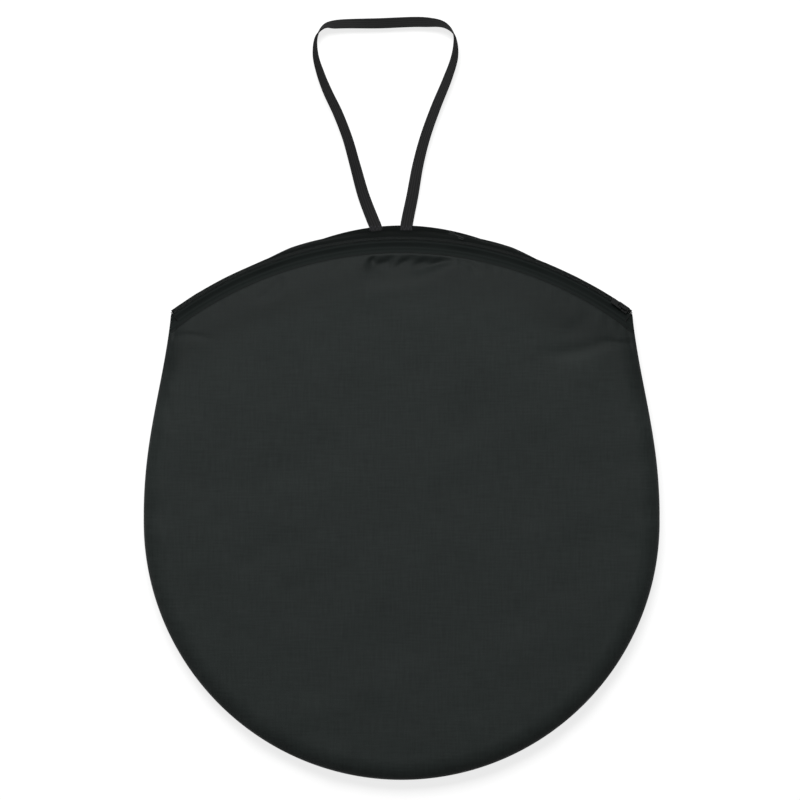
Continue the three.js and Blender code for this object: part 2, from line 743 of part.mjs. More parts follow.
add("bag_back_panel", backPanel(), "nylon");
add("bag_front_panel", frontPanel(), "nylon");
add("seam_binding", seamBinding(), "binding");
add("back_zip_tape", backTape(), "tape");
add("back_zip_coil", coil(1, -TACK_ANGLE + SPLIT, TACK_ANGLE - SPLIT, 44), "coil");
for (const [name, side] of [["left", -1], ["right", 1]]) {
  const ends = [(FLAP_ANGLE + SPLIT) * side, (TACK_ANGLE - SPLIT) * side].sort((a, b) => a - b);
  add(`front_tape_end_${name}`, frontTape(...ends, 3), "tape");
  add(`front_coil_end_${name}`, coil(-1, ...ends, 3), "coil");
  add(`zip_end_tack_${name}`, endTack(side), "thread");
}

add("mouth_flap_panel", mouthFlap(), "nylon");
add("front_zip_tape", frontTape(-FLAP_ANGLE, FLAP_ANGLE, 40), "tape");
add("front_zip_coil", coil(-1, -FLAP_ANGLE, FLAP_ANGLE, 40), "coil");

add("slider_body", sliderBody(), "slider");
add("slider_bail", sliderBail(), "slider");
add("pull_tab", pullTab(), "slider");

add("carry_strap", carryStrap(), "webbing");
for (const [name, root] of [["left", STRAP_ROUTE[0]], ["right", STRAP_ROUTE.at(-1)]]) {
  add(`strap_end_${name}`, strapEnd(root), "webbing");
  add(`strap_tack_${name}`, strapTack(root), "thread");
}

add("spring_hoop", loft(hoopLoops(hoopFrames(), circleSection(WIRE_RADIUS, 6)), true), "steel");
add("hoop_ferrule", ferrule(), "steel");
add("hoop_sleeve", loft(hoopLoops(hoopFrames(), sleeveSection()), true), "sleeve");
add("panel_front_sheet", foldedSheet(1), "front_cloth");
add("panel_reverse_sheet", foldedSheet(-1), "reverse_cloth");

export default group;
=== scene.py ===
# Looks of a collapsible backdrop panel, folded in its round zipped carry bag: cloth, zip, webbing,
# thread and the folded panel inside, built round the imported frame.
# Lengths are in millimetres along the frame's axes, unless a comment says metres.
import json
import math

import bpy
import numpy as np
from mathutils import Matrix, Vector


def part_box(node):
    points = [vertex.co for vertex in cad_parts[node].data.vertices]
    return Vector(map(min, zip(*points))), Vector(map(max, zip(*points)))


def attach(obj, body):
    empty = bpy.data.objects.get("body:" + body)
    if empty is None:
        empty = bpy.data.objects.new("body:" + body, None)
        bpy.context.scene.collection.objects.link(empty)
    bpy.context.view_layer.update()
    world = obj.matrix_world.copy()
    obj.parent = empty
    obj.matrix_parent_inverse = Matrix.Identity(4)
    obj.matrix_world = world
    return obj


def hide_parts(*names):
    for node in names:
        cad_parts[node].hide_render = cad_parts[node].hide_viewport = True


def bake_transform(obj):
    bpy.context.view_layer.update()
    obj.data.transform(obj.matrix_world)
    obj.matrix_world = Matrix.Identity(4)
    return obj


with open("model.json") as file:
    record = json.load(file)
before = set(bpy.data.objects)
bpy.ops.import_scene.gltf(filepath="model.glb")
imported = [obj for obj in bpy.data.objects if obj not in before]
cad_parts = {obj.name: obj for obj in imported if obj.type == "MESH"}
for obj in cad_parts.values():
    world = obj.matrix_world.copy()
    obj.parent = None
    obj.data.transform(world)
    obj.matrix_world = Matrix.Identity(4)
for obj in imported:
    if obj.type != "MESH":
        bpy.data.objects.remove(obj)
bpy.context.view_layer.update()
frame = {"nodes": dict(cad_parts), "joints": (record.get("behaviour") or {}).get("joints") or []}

MM = 0.001
JOINTS = {joint["name"]: joint for joint in frame["joints"]}


def joint_place(name):
    """A joint's place in mm."""
    return np.array(JOINTS[name]["pos_m"]) / MM


def node_box(node):
    """A CAD node's lowest and highest corners in mm."""
    return np.array(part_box(node)) / MM


# ---- Driving dimensions, read from the frame ----
ZIP_CENTRE = joint_place("slider_travel")
SEAM_Z = ZIP_CENTRE[2]
HINGE = joint_place("mouth_hinge")
BODY_RADIUS = node_box("bag_back_panel")[1][0]
COIL_GAP = 0.7  # from the line where the two coils meet to each CAD coil
ZIP_RADIUS = node_box("front_zip_coil")[1][1] - ZIP_CENTRE[1] + COIL_GAP
HEM_RADIUS = node_box("mouth_flap_panel")[1][1] - ZIP_CENTRE[1]
SEAM_GAP = 0.3  # from the seam's level to each panel at the outline
FRONT_RISE = HINGE[2] - SEAM_Z - SEAM_GAP
PACK_RADIUS = node_box("hoop_sleeve")[1][0]

# ---- Dimensions that repeat part.mjs ----
SIDE_START_Y = 8
SIDE_HANDLES = [(322.5, 108), (297.5, 172)]
EAR_ANGLE = 36.3  # degrees from +Y about the zip's centre
TACK_ANGLE = 35.98
EDGE_ROLL = 26  # width of the rounded edge inside the side seam
MOUTH_FALL = 84  # the front panel falls to the zip over this distance
MOUTH_CURVE = 2.1
BACK_BULGE = 16.5  # how far the back panel's mouth edge passes the zip in the middle
BACK_CROSS_ANGLE = 19.2  # where that edge crosses the zip
BACK_TUCK = 6  # how far it stops short of the zip beyond the crossing
STRAP_WIDTH = 15.5
STRAP_REST_Z = 2.4
STRAP_CLEARANCE = 0.4
CAD_STRAP_THICKNESS = 1.6
STRAP_ROUTE = [
    (-33.3, 371, 0), (-37, 380, 4), (-47.8, 408.6, 18), (-58.6, 447.4, 32), (-67.8, 480, 37),
    (-80.3, 512.4, 38), (-92.8, 538.6, 42), (-102, 562.4, 52), (-107.9, 585.4, 66), (-106.5, 607.4, 84),
    (-97, 619.8, 111), (-83.4, 622.8, 138), (-28, 624.3, 150), (29, 625.8, 148), (52.9, 622, 122),
    (64.8, 611, 92), (67.3, 598.6, 74), (66, 581, 56), (57.1, 554, 44), (42.6, 518.6, 38),
    (29.1, 480.5, 34), (20, 445, 28), (13.5, 408.6, 16), (7.4, 379, 4), (6.1, 371, 0),
]
LAY_RADIUS = 6.6
SLEEVE_RADIUS = 4.8
RING_RADIUS = PACK_RADIUS - LAY_RADIUS - SLEEVE_RADIUS
TURNS = 3
PANEL_RADIUS = 279
FOLD_SPACING = 8
FOLD_HALF_SPAN = 262
SHEET_OFFSET = 0.9

# ---- Looks ----
CLOTH = 0.45  # thickness of the nylon
TAPE = 0.7  # and of the zip tapes
SLUB = (2.2, 30)  # width and length of the uneven threads in the cloth
MOUTH_SHADE_SPAN = (398, 446)  # painted shade: the cloth darkens from here to here, measured from the zip's centre
HEM_FOLD_SHADOW = (2.9, 1.1)  # and once more as a painted shadow line along the hem's fold, measured in from its fold
PAINTED_SHADE_DEPTH = 0.31  # how much each painted shade takes off
RIB_PITCH = 3.05  # between the webbing's lengthwise ribs
RIB_HEIGHT = 0.13
CROSS_RIB_PITCH = 1.4
STRAP_LOOP_SHADE = (365, 120)  # painted shade over the top of the strap's loop: middle of the stretch and half its length
LOOP_SHADE_TONE = 0.58  # what is left of its tone there
POLAR_CENTRE = np.array([0.0, 20.0])  # the panels' grids close in on this point
UP = np.array([0, 0, 1.0])


# ---- Small maths ----

def smoothstep(low, high, value):
    share = np.clip((value - low) / (high - low), 0, 1)
    return share * share * (3 - 2 * share)


def unit(vectors):
    length = np.linalg.norm(vectors, axis=-1, keepdims=True)
    return vectors / np.maximum(length, 1e-9)


def on_arc(radius, degrees, z=0.0):
    """Points on an arc about the zip's centre, at an angle from +Y towards +X."""
    radius, turn, z = np.broadcast_arrays(radius, np.radians(degrees), z)
    x = radius * np.sin(turn)
    y = ZIP_CENTRE[1] + radius * np.cos(turn)
    return np.stack([x, y, z], -1)


def arc_coordinates(x, y):
    """Distance from the zip's centre, and the angle from +Y in degrees."""
    return np.hypot(x, y - ZIP_CENTRE[1]), np.degrees(np.arctan2(x, y - ZIP_CENTRE[1]))


def distances(line):
    """How far along a line each of its points is."""
    return np.concatenate([[0], np.cumsum(np.linalg.norm(np.diff(line, axis=0), axis=1))])


def resampled(points, along, wanted):
    """Points given at distances along a line, read at the wanted distances."""
    return np.stack([np.interp(wanted, along, column) for column in points.T], -1)


def evenly(points, spacing):
    """The same line with points at an even spacing."""
    along = distances(points)
    count = max(2, int(round(along[-1] / spacing)) + 1)
    return resampled(points, along, np.linspace(0, along[-1], count))


def ripples(seed, wavelength, stretch=(1, 1), waves=16):
    """A smooth random field of about unit size, as a function of two coordinates in mm."""
    draw = np.random.default_rng(seed)
    turn = draw.uniform(0, 2 * np.pi, waves)
    size = 2 * np.pi / (wavelength * draw.uniform(0.65, 1.6, waves))
    phase = draw.uniform(0, 2 * np.pi, waves)

    def field(u, v):
        total = np.zeros(np.broadcast(u, v).shape)
        for k in range(waves):
            across = u * size[k] * math.cos(turn[k]) / stretch[0]
            along = v * size[k] * math.sin(turn[k]) / stretch[1]
            total += np.cos(across + along + phase[k])
        return total * math.sqrt(2 / waves)

    return field


# ---- Meshes ----

def grid_faces(rows, columns, closed):
    """Quads of a grid of points, row by row, joined on itself across the columns when closed."""
    row = np.arange(rows - 1)[:, None] * columns
    here = np.arange(columns if closed else columns - 1)[None, :]
    after = (here + 1) % columns
    corners = [row + here, row + after, row + columns + after, row + columns + here]
    return np.stack([c.ravel() for c in corners], -1)


def point_normals(points, faces):
    """Unit normals at the points of a mesh of quads."""
    a, b, c, d = (points[faces[:, k]] for k in range(4))
    face_normals = np.cross(c - a, d - b)
    normals = np.zeros_like(points)
    for k in range(4):
        np.add.at(normals, faces[:, k], face_normals)
    return unit(normals)


def grid_uvs(across, along):
    """UVs in mm of a grid of points, row by row."""
    return np.stack(np.broadcast_arrays(across, along), -1).reshape(-1, 2)


def make_piece(name, points, faces, material, uvs=None):
    """A smooth mesh object from points and uvs in mm, and faces of any size."""
    mesh = bpy.data.meshes.new(name)
    mesh.from_pydata((np.asarray(points) * MM).tolist(), [], [list(map(int, f)) for f in faces])
    mesh.polygons.foreach_set("use_smooth", [True] * len(mesh.polygons))
    if uvs is not None:
        corners = np.zeros(len(mesh.loops), dtype=np.int32)
        mesh.loops.foreach_get("vertex_index", corners)
        layer = mesh.uv_layers.new(name="cloth")
        layer.data.foreach_set("uv", (np.asarray(uvs)[corners] * MM).astype(np.float32).ravel())
    mesh.update()
    mesh.materials.append(material)
    piece = bpy.data.objects.new(name, mesh)
    bpy.context.scene.collection.objects.link(piece)
    return piece


def thick_sheet(points, faces, edge, thickness):
    """Gives a one-layer mesh a thickness against its normals. edge is the loop of its open edge."""
    count = len(points)
    both = np.concatenate([points, points - point_normals(points, faces) * thickness])
    after = np.roll(edge, -1)
    wall = np.stack([after, edge, edge + count, after + count], -1)
    return both, np.concatenate([faces, faces[:, ::-1] + count, wall])


def swept(sections, closed_along=False):
    """Points and faces of a solid through matching section loops of shape (stations, points, 3)."""
    stations, count = sections.shape[:2]
    faces = grid_faces(stations, count, True).tolist()
    last = (stations - 1) * count
    here = np.arange(count)
    if closed_along:
        after = (here + 1) % count
        faces += np.stack([last + here, last + after, after, here], -1).tolist()
    else:
        faces += [here[::-1].tolist(), (last + here).tolist()]
    return sections.reshape(-1, 3), faces


def tube(path, radius, up, sides=6):
    """A tube along a path. up, one direction or one for each point, settles how its sections turn."""
    tangents = unit(np.gradient(path, axis=0))
    side = unit(np.cross(np.broadcast_to(up, path.shape), tangents))
    top = np.cross(tangents, side)
    turn = np.linspace(0, 2 * np.pi, sides, endpoint=False)[None, :, None]
    spokes = side[:, None, :] * np.cos(turn) + top[:, None, :] * np.sin(turn)
    return swept(path[:, None, :] + radius * spokes)


def joined(parts):
    """Several (points, faces) meshes as one."""
    points, faces, start = [], [], 0
    for part_points, part_faces in parts:
        points.append(part_points)
        faces += [[k + start for k in face] for face in part_faces]
        start += len(part_points)
    return np.concatenate(points), faces


# ---- Materials ----

class Recipe:
    """A node material under construction: each call adds a node and returns it."""

    def __init__(self, name):
        self.material = bpy.data.materials.new(name)
        self.material.use_nodes = True
        self.tree = self.material.node_tree
        self.shader = self.tree.nodes["Principled BSDF"]

    def link(self, value, socket):
        if isinstance(value, bpy.types.NodeSocket):
            self.tree.links.new(value, socket)
        else:
            socket.default_value = value

    def node(self, kind, inputs=None, **settings):
        made = self.tree.nodes.new("ShaderNode" + kind)
        for key, value in settings.items():
            setattr(made, key, value)
        for key, value in (inputs or {}).items():
            self.link(value, made.inputs[key])
        return made

    def place(self, source, scale):
        """Coordinates times scale, which is one number or three."""
        coordinates = self.node("TexCoord").outputs[source]
        scale = scale if isinstance(scale, tuple) else (scale, scale, scale)
        return self.node("Mapping", {"Vector": coordinates, "Scale": scale}).outputs[0]

    def noise(self, source, scale, detail=2.0):
        """Noise about 0.5, with features of 1/scale metres along each axis."""
        where = self.place(source, scale)
        return self.node("TexNoise", {"Vector": where, "Scale": 1.0, "Detail": detail}).outputs["Fac"]

    def maths(self, operation, a, b=0.0):
        return self.node("Math", {0: a, 1: b}, operation=operation).outputs[0]

    def times(self, first, *others):
        for other in others:
            first = self.maths("MULTIPLY", first, other)
        return first

    def about_one(self, value, amount):
        """Turns a value about 0.5 into a factor about 1, give or take amount."""
        centred = self.maths("SUBTRACT", value, 0.5)
        return self.maths("ADD", self.times(centred, 2 * amount), 1.0)

    def fade(self, value, start, end, low, high):
        """Goes smoothly from low to high while a value in metres goes from start to end in mm."""
        limits = {"From Min": start * MM, "From Max": end * MM, "To Min": low, "To Max": high}
        return self.node("MapRange", {"Value": value, **limits}, interpolation_type="SMOOTHSTEP").outputs[0]

    def set(self, **inputs):
        for key, value in inputs.items():
            self.link(value, self.shader.inputs[key.replace("_", " ")])

    def colour(self, base, factor):
        tint = self.node("VectorMath", {0: base, "Scale": factor}, operation="SCALE")
        self.set(Base_Color=tint.outputs[0])

    def bump(self, height, distance, strength, over=None):
        inputs = {"Height": height, "Distance": distance, "Strength": strength}
        if over is not None:
            inputs["Normal"] = over
        bumped = self.node("Bump", inputs).outputs[0]
        self.set(Normal=bumped)
        return bumped


def weave(recipe, source, pitch):
    """Height of a plain weave, with threads pitch mm apart both ways."""
    parts = recipe.node("SeparateXYZ", {0: recipe.place(source, 1 / (pitch * MM))}).outputs
    waves = [recipe.maths("SINE", recipe.times(parts[axis], 2 * math.pi)) for axis in (0, 1)]
    return recipe.times(*waves)


def slubs(recipe, source, thread, length):
    """Uneven threads: noise drawn out along both directions of the weave, about 0.5."""
    fine, coarse = 1 / (thread * MM), 1 / (length * MM)
    across = recipe.noise(source, (coarse, fine, fine))
    along = recipe.noise(source, (fine, coarse, fine))
    return recipe.times(recipe.maths("ADD", across, along), 0.5)


def cloth_material(name, base, roughness=0.55, slub=0.45, pitch=0.9, painted_shade=0.0):
    """Plain-woven cloth: uneven threads, a fine weave in relief, and slow changes of tone. painted_shade is
    how much darker it is painted, as shade, round the bag's mouth and along the hem's fold."""
    recipe = Recipe(name)
    threads = slubs(recipe, "UV", *SLUB)
    patches = recipe.about_one(recipe.noise("UV", 11, 3.0), 0.06)
    uv = recipe.node("TexCoord").outputs["UV"]
    centre = (ZIP_CENTRE[0] * MM, ZIP_CENTRE[1] * MM, 0)
    from_centre = recipe.node("VectorMath", {0: uv, 1: centre}, operation="DISTANCE").outputs["Value"]
    # painted shade towards the mouth, and a painted shadow line along the hem's fold
    mouth_shade = recipe.fade(from_centre, *MOUTH_SHADE_SPAN, 1.0, 1 - painted_shade)
    fold_shadow = recipe.fade(from_centre, *(HEM_RADIUS - inside for inside in HEM_FOLD_SHADOW), 1.0, 1 - painted_shade)
    recipe.colour(base, recipe.times(recipe.about_one(threads, slub), patches, mouth_shade, fold_shadow))
    recipe.set(Roughness=recipe.times(recipe.about_one(threads, 0.2), roughness), Specular_IOR_Level=0.05)
    soft = recipe.bump(threads, 0.00025, 0.5)
    recipe.bump(weave(recipe, "UV", pitch), 0.00006, 0.6, over=soft)
    return recipe.material


def tape_material(name, base):
    """Knitted zip tape and binding: a herringbone of fine ribs, matte."""
    recipe = Recipe(name)
    bands = {"Vector": recipe.place("UV", 700), "Scale": 1.0, "Distortion": 0.6}
    zigzag = recipe.node("TexWave", bands, bands_direction="DIAGONAL").outputs["Fac"]
    knit = recipe.times(recipe.maths("ADD", zigzag, recipe.noise("UV", 900, 3.0)), 0.5)
    recipe.colour(base, recipe.about_one(knit, 0.4))
    recipe.set(Roughness=0.8, Specular_IOR_Level=0.04)
    recipe.bump(knit, 0.00015, 0.7)
    return recipe.material


def webbing_material(name, base):
    """Flat woven webbing: cross ribs on top of the lengthwise ones that are in the mesh, with a painted
    highlight along the ribs and painted shade over the top of the loop."""
    recipe = Recipe(name)
    across, along = recipe.node("SeparateXYZ", {0: recipe.place("UV", 1)}).outputs[:2]
    cross_ribs = recipe.maths("SINE", recipe.times(along, 2 * math.pi / (CROSS_RIB_PITCH * MM)))
    fuzz = recipe.noise("UV", (1600, 700, 700), 3.0)
    ribs = recipe.maths("COSINE", recipe.times(across, 2 * math.pi / (RIB_PITCH * MM)))
    # painted highlight: paler along the rib crests, in step with the ribs in the mesh
    rib_highlight = recipe.maths("ADD", recipe.times(ribs, 0.5), 0.5)
    patches = recipe.noise("UV", (60, 25, 25), 3.0)
    rib_highlight_and_patches = recipe.times(recipe.about_one(rib_highlight, 0.3), recipe.about_one(patches, 0.25))
    # painted shade over the top of the loop
    from_loop_top = recipe.maths("ABSOLUTE", recipe.maths("SUBTRACT", along, STRAP_LOOP_SHADE[0] * MM))
    loop_shade = recipe.fade(from_loop_top, 0, STRAP_LOOP_SHADE[1], LOOP_SHADE_TONE, 1.0)
    recipe.colour(base, recipe.times(recipe.about_one(fuzz, 0.4), rib_highlight_and_patches, loop_shade))
    recipe.set(Roughness=0.7, Specular_IOR_Level=0.06)
    recipe.bump(recipe.maths("ADD", recipe.times(cross_ribs, 0.25), fuzz), 0.00018, 0.8)
    return recipe.material


def grained_material(name, base, grain, tone, roughness, relief, **settings):
    """A finish with one fine grain. grain is its features per metre and its detail; tone is how far it
    changes the colour; roughness is a level and how far it changes that; relief is how far it changes
    the surface and how strongly."""
    recipe = Recipe(name)
    noise = recipe.noise("Object", *grain)
    level, change = roughness
    recipe.colour(base, recipe.about_one(noise, tone))
    recipe.set(Roughness=recipe.times(recipe.about_one(noise, change), level), **settings)
    recipe.bump(noise, *relief)
    return recipe.material


def thread_material(name, base):
    """Sewing thread, uneven with its twist."""
    relief = (0.0001, 0.5)
    return grained_material(name, base, (2500, 1.0), 0.3, (0.6, 0.0), relief, Specular_IOR_Level=0.12)


def painted_metal(name, base, bare):
    """Matte paint on cast zinc, chipped to dull bare metal in specks."""
    recipe = Recipe(name)
    specks = recipe.noise("Object", 900, 4.0)
    chips = recipe.times(recipe.maths("SUBTRACT", specks, 0.63), 6.0)
    chips = recipe.maths("MINIMUM", recipe.maths("MAXIMUM", chips, 0.0), 0.6)
    paint = recipe.node("Mix", {"Factor": chips, 6: (*base, 1), 7: (*bare, 1)}, data_type="RGBA")
    roughness = recipe.times(recipe.about_one(specks, 0.3), 0.5)
    recipe.set(Base_Color=paint.outputs[2], Metallic=chips, Roughness=roughness, Specular_IOR_Level=0.1)
    recipe.bump(specks, 0.00002, 0.4)
    return recipe.material


def floor_material(name, base, glow):
    """An evenly lit pale table, which keeps shadows faint."""
    recipe = Recipe(name)
    recipe.colour(base, recipe.about_one(recipe.noise("Object", 2), 0.01))
    recipe.set(Roughness=0.9, Specular_IOR_Level=0.0, Emission_Color=(1, 1, 1, 1), Emission_Strength=glow)
    return recipe.material


NYLON = cloth_material("nylon_cloth", (0.0122, 0.0148, 0.0142), pitch=0.7, painted_shade=PAINTED_SHADE_DEPTH)
ZIP_TAPE = tape_material("zip_tape_knit", (0.0062, 0.0078, 0.0074))
BINDING = tape_material("binding_tape", (0.0026, 0.0033, 0.0031))
WEBBING = webbing_material("strap_webbing", (0.0092, 0.0092, 0.0094))
COIL = grained_material(
    "nylon_coil", (0.0095, 0.0112, 0.0108), (400, 3.0), 0.15, (0.45, 0.25), (0.00003, 0.5),
    Specular_IOR_Level=0.12,
)
THREAD = thread_material("black_thread", (0.0036, 0.0042, 0.0041))
# real stitching, made darker than the other black thread as a painted shadow line along the hem's fold
HEM_SHADOW_THREAD = thread_material("hem_thread_painted_shadow", (0.0012, 0.0014, 0.0014))
TACK_THREAD = thread_material("tack_thread", (0.0180, 0.0180, 0.0205))
# paler than the cloth: stitches whose tone is a painted highlight along the lap's edge
LAP_HIGHLIGHT_THREAD = thread_material("lap_thread_painted_highlight", (0.024, 0.027, 0.026))
PAINTED = painted_metal("slider_paint", (0.0040, 0.0045, 0.0044), (0.10, 0.10, 0.105))
STEEL = grained_material(
    "spring_steel", (0.42, 0.43, 0.44), (700, 4.0), 0.2, (0.34, 0.4), (0.00002, 0.3), Metallic=1.0
)
SLEEVE = cloth_material("sleeve_cloth", (0.012, 0.012, 0.0125), roughness=0.8)
BLACK_COTTON = cloth_material("black_cotton", (0.014, 0.014, 0.0145), roughness=0.9)
WHITE_COTTON = cloth_material("white_cotton", (0.72, 0.72, 0.70), roughness=0.9, slub=0.06)
PALE_FLOOR = floor_material("pale_floor", (0.16, 0.16, 0.16), glow=0.8)


# ---- The bag's outline and surfaces ----

def bezier(points, count):
    """Points along a cubic curve."""
    share = np.linspace(0, 1, count)[:, None]
    a, b, c, d = (np.array(p, float) for p in points)
    rest = 1 - share
    return a * rest**3 + 3 * b * rest**2 * share + 3 * c * rest * share**2 + d * share**3


EAR = on_arc(ZIP_RADIUS, EAR_ANGLE)[:2]
SIDE = bezier([EAR, SIDE_HANDLES[1], SIDE_HANDLES[0], (BODY_RADIUS, SIDE_START_Y)], 49)


def rim_line():
    """The side seam in plan, from the right-hand ear round the bottom to the left-hand ear."""
    start = math.asin(SIDE_START_Y / BODY_RADIUS)
    turn = np.linspace(start, -math.pi - start, 400)[1:-1]
    bottom = BODY_RADIUS * np.stack([np.cos(turn), np.sin(turn)], -1)
    return np.concatenate([SIDE, bottom, (SIDE * [-1, 1])[::-1]])


def rim_distance(x, y):
    """Distance from the side seam, for points inside the bag's outline."""
    shape = np.broadcast(x, y).shape
    points = np.stack([np.abs(np.broadcast_to(x, shape)), np.broadcast_to(y, shape)], -1).reshape(-1, 2)
    best = np.full(len(points), 1e9)
    for a, b in zip(SIDE[:-1], SIDE[1:]):
        along = np.clip((points - a) @ (b - a) / np.sum((b - a) ** 2), 0, 1)
        best = np.minimum(best, np.linalg.norm(points - a - along[:, None] * (b - a), axis=1))
    from_circle = np.maximum(BODY_RADIUS - np.linalg.norm(points, axis=1), 0)
    best = np.where(points[:, 1] < SIDE_START_Y, np.minimum(best, from_circle), best)
    return best.reshape(shape)


def quarter_round(share):
    """Rises from 0 to 1 as a quarter of a circle does."""
    return np.sqrt(1 - (1 - np.clip(share, 0, 1)) ** 2)


def front_height(x, y):
    """The front panel's outer face."""
    from_zip = ZIP_RADIUS - arc_coordinates(x, y)[0]
    rise = 1 - (1 - np.clip(from_zip / MOUTH_FALL, 0, 1)) ** MOUTH_CURVE
    return SEAM_Z + SEAM_GAP + FRONT_RISE * rise * quarter_round(rim_distance(x, y) / EDGE_ROLL)


def back_height(x, y):
    """The back panel's outer face, which the bag lies on."""
    foot = SEAM_Z - SEAM_GAP
    return foot - foot * quarter_round(rim_distance(x, y) / EDGE_ROLL)


def outward(x, y, side):
    """The direction a panel's face points in near the side seam. side is 1 in front and -1 behind."""
    level = 1 - np.clip(rim_distance(x, y) / EDGE_ROLL, 0, 1)
    away = unit(np.stack([x, y], -1) - POLAR_CENTRE)
    up = np.sqrt(np.maximum(1 - level**2, 0)) / FRONT_RISE
    return unit(np.concatenate([away * (level / EDGE_ROLL)[..., None], side * up[..., None]], -1))


# ---- Relief of the front panel ----
# Creases that stand out: start, end, width, and depth (below zero) or height.
FRONT_CREASES = [
    ((298, 226), (250, 226), 4.0, -2.0),
    ((262, 227), (172, 210), 9, -1.6),
    ((290, 247), (194, 240), 15, -1.2),
    ((286, 237), (236, 250), 8, 0.5),
    ((236, 258), (200, 236), 11, -0.9),
    ((-298, 230), (-240, 230), 3.6, -1.1),
    ((-290, 222), (-230, 214), 8, 0.4),
    ((-150, 302), (-180, 277), 6.0, -1.3),
    ((-138, 296), (-166, 270), 8, 0.5),
    ((-72, 328), (-88, 312), 4.5, -0.8),
    ((72, 327), (96, 311), 4.6, -1.3),
    ((84, 333), (110, 316), 5.0, 0.5),
    ((58, 190), (196, 150), 48, 1.1),
    ((304, 190), (282, 130), 7, -0.7),
    ((-306, 178), (-286, 120), 6, -0.6),
]
HEM_PUCKERS = 76
HEM_SEAM = 1.3  # from the hem's fold to the stitching that joins it to the tape
HEM_GROOVE = 1.3  # how deep the stitching draws the cloth in
SLACK = (-36, 70)  # the stretch of the front hem with slack cloth behind it
SLACK_DEPTH = 6.3
SLACK_FOOT = 12.5  # the cloth has fallen this far inside the hem
SLACK_CLIMB = (17, 52)  # and comes back up between these distances
SCALLOPS = [(-25, 7, 8), (4, 9, 9), (32, 14, 5), (60, 7, 4)]  # place, half width and reach
HOLLOW = 2.4  # depth of the shallow hollow in the middle of the front


def crease(x, y, start, end, width, height):
    """Height of one slightly bowed crease, which fades out beyond its ends."""
    start, end = np.array(start, float), np.array(end, float)
    line = end - start
    length = np.linalg.norm(line)
    line = line / length
    along = ((x - start[0]) * line[0] + (y - start[1]) * line[1]) / length
    across = (x - start[0]) * -line[1] + (y - start[1]) * line[0]
    bow = 0.06 * length * np.sin(np.pi * np.clip(along, 0, 1))
    fade = smoothstep(-0.25, 0.12, along) * (1 - smoothstep(0.6, 1.2, along))
    return height * fade * np.exp(-(((across - bow) / width) ** 2))


def hem_puckers(along_hem, from_hem):
    """Small gathers that the hem's stitching draws into the cloth."""
    draw = np.random.default_rng(41)
    total = np.zeros(np.broadcast(along_hem, from_hem).shape)
    for place in np.linspace(-300, 300, HEM_PUCKERS) + draw.uniform(-4, 4, HEM_PUCKERS):
        middle = math.exp(-((place / 110) ** 2))
        width = draw.uniform(2.2, 4.2)
        length = draw.uniform(9, 20) + 14 * middle * draw.uniform(0, 1)
        height = draw.uniform(-0.5, 0.42) * (0.75 + 0.9 * middle)
        lean = draw.uniform(-0.7, 0.7)
        across = (along_hem - place - lean * from_hem) / (width * (1 + from_hem / 26))
        near = smoothstep(0.3, 4, from_hem) * np.exp(-((from_hem / length) ** 2))
        total += height * near * np.exp(-(across**2))
    return total


def middle_slack(along_hem, from_hem):
    """The cloth behind the middle of the hem is slack: it falls away from the hem and comes back up
    further in. The foot of the fall runs in slanting scallops."""
    slanted = along_hem + 0.8 * from_hem
    foot = SLACK_FOOT + 1.5 * ripples(78, 15, waves=8)(slanted, 0.4 * from_hem)
    for place, width, reach in SCALLOPS:
        foot = foot + reach * np.exp(-(((slanted - place) / width) ** 2))
    ease = 1.7 * np.maximum(from_hem - 9, 0)
    left = smoothstep(SLACK[0] - 5, SLACK[0] + 7 + ease, slanted)
    right = 1 - smoothstep(SLACK[1] - 12 - ease, SLACK[1] + 10, slanted)
    uneven = 0.9 * np.tanh(ripples(77, 30, waves=8)(slanted, from_hem * 0.5))
    climb = 1 - smoothstep(*SLACK_CLIMB, from_hem)
    return -(SLACK_DEPTH + uneven) * left * right * smoothstep(0.3, foot, from_hem) * climb


def rim_puckers(x, y, seed):
    """Gathers along the side seam, and the shallow groove inside it where the seam allowance ends."""
    around = np.arctan2(y, x) * BODY_RADIUS
    inside = rim_distance(x, y)
    fine = ripples(seed, 13)(around, inside * 0.2) * 0.2 * np.exp(-((inside / 11) ** 2))
    long = ripples(seed + 1, 46)(around, inside * 0.3) * 0.45 * np.exp(-((inside / 30) ** 2))
    sides = 0.35 + 0.65 * smoothstep(-230, 60, y)
    groove = -0.75 * sides * np.exp(-(((inside - 7.0) / 2.0) ** 2))
    return (fine + long) * smoothstep(0, 4, inside) + groove


def front_relief(x, y):
    """How far the front panel's cloth stands out from its plain shape."""
    radius, angle = arc_coordinates(x, y)
    from_hem = HEM_RADIUS - radius
    along_hem = np.radians(angle) * HEM_RADIUS
    inside = rim_distance(x, y)
    relief = hem_puckers(along_hem, from_hem) + middle_slack(along_hem, from_hem)
    relief = relief - HEM_GROOVE * np.exp(-((from_hem - HEM_SEAM) ** 2))
    off_edges = smoothstep(0.2, 5, from_hem) * smoothstep(0.5, 8, inside)
    for start, end, width, height in FRONT_CREASES:
        relief = relief + crease(x, y, start, end, width, height) * off_edges
    open_cloth = smoothstep(4, 40, from_hem) * smoothstep(6, 50, inside)
    relief = relief + open_cloth * 0.3 * ripples(5, 120)(x, y)
    relief = relief + open_cloth * 0.12 * ripples(6, 48, stretch=(1.6, 1))(x, y)
    hollow = HOLLOW * (1 - smoothstep(120, 292, np.hypot(x, y - 4)))
    return relief * smoothstep(0, 3, inside) - hollow + rim_puckers(x, y, 11)


def front_point(x, y):
    """The front panel's finished outer face."""
    base = np.stack([x, y, front_height(x, y)], -1)
    return base + outward(x, y, 1) * front_relief(x, y)[..., None]


def back_point(x, y):
    """The back panel's finished outer face, which is plain where the bag lies on it."""
    base = np.stack([x, y, back_height(x, y)], -1)
    relief = rim_puckers(x, y, 23) * (1 - smoothstep(16, 26, rim_distance(x, y)))
    return base + outward(x, y, -1) * relief[..., None]


# ---- Panels ----

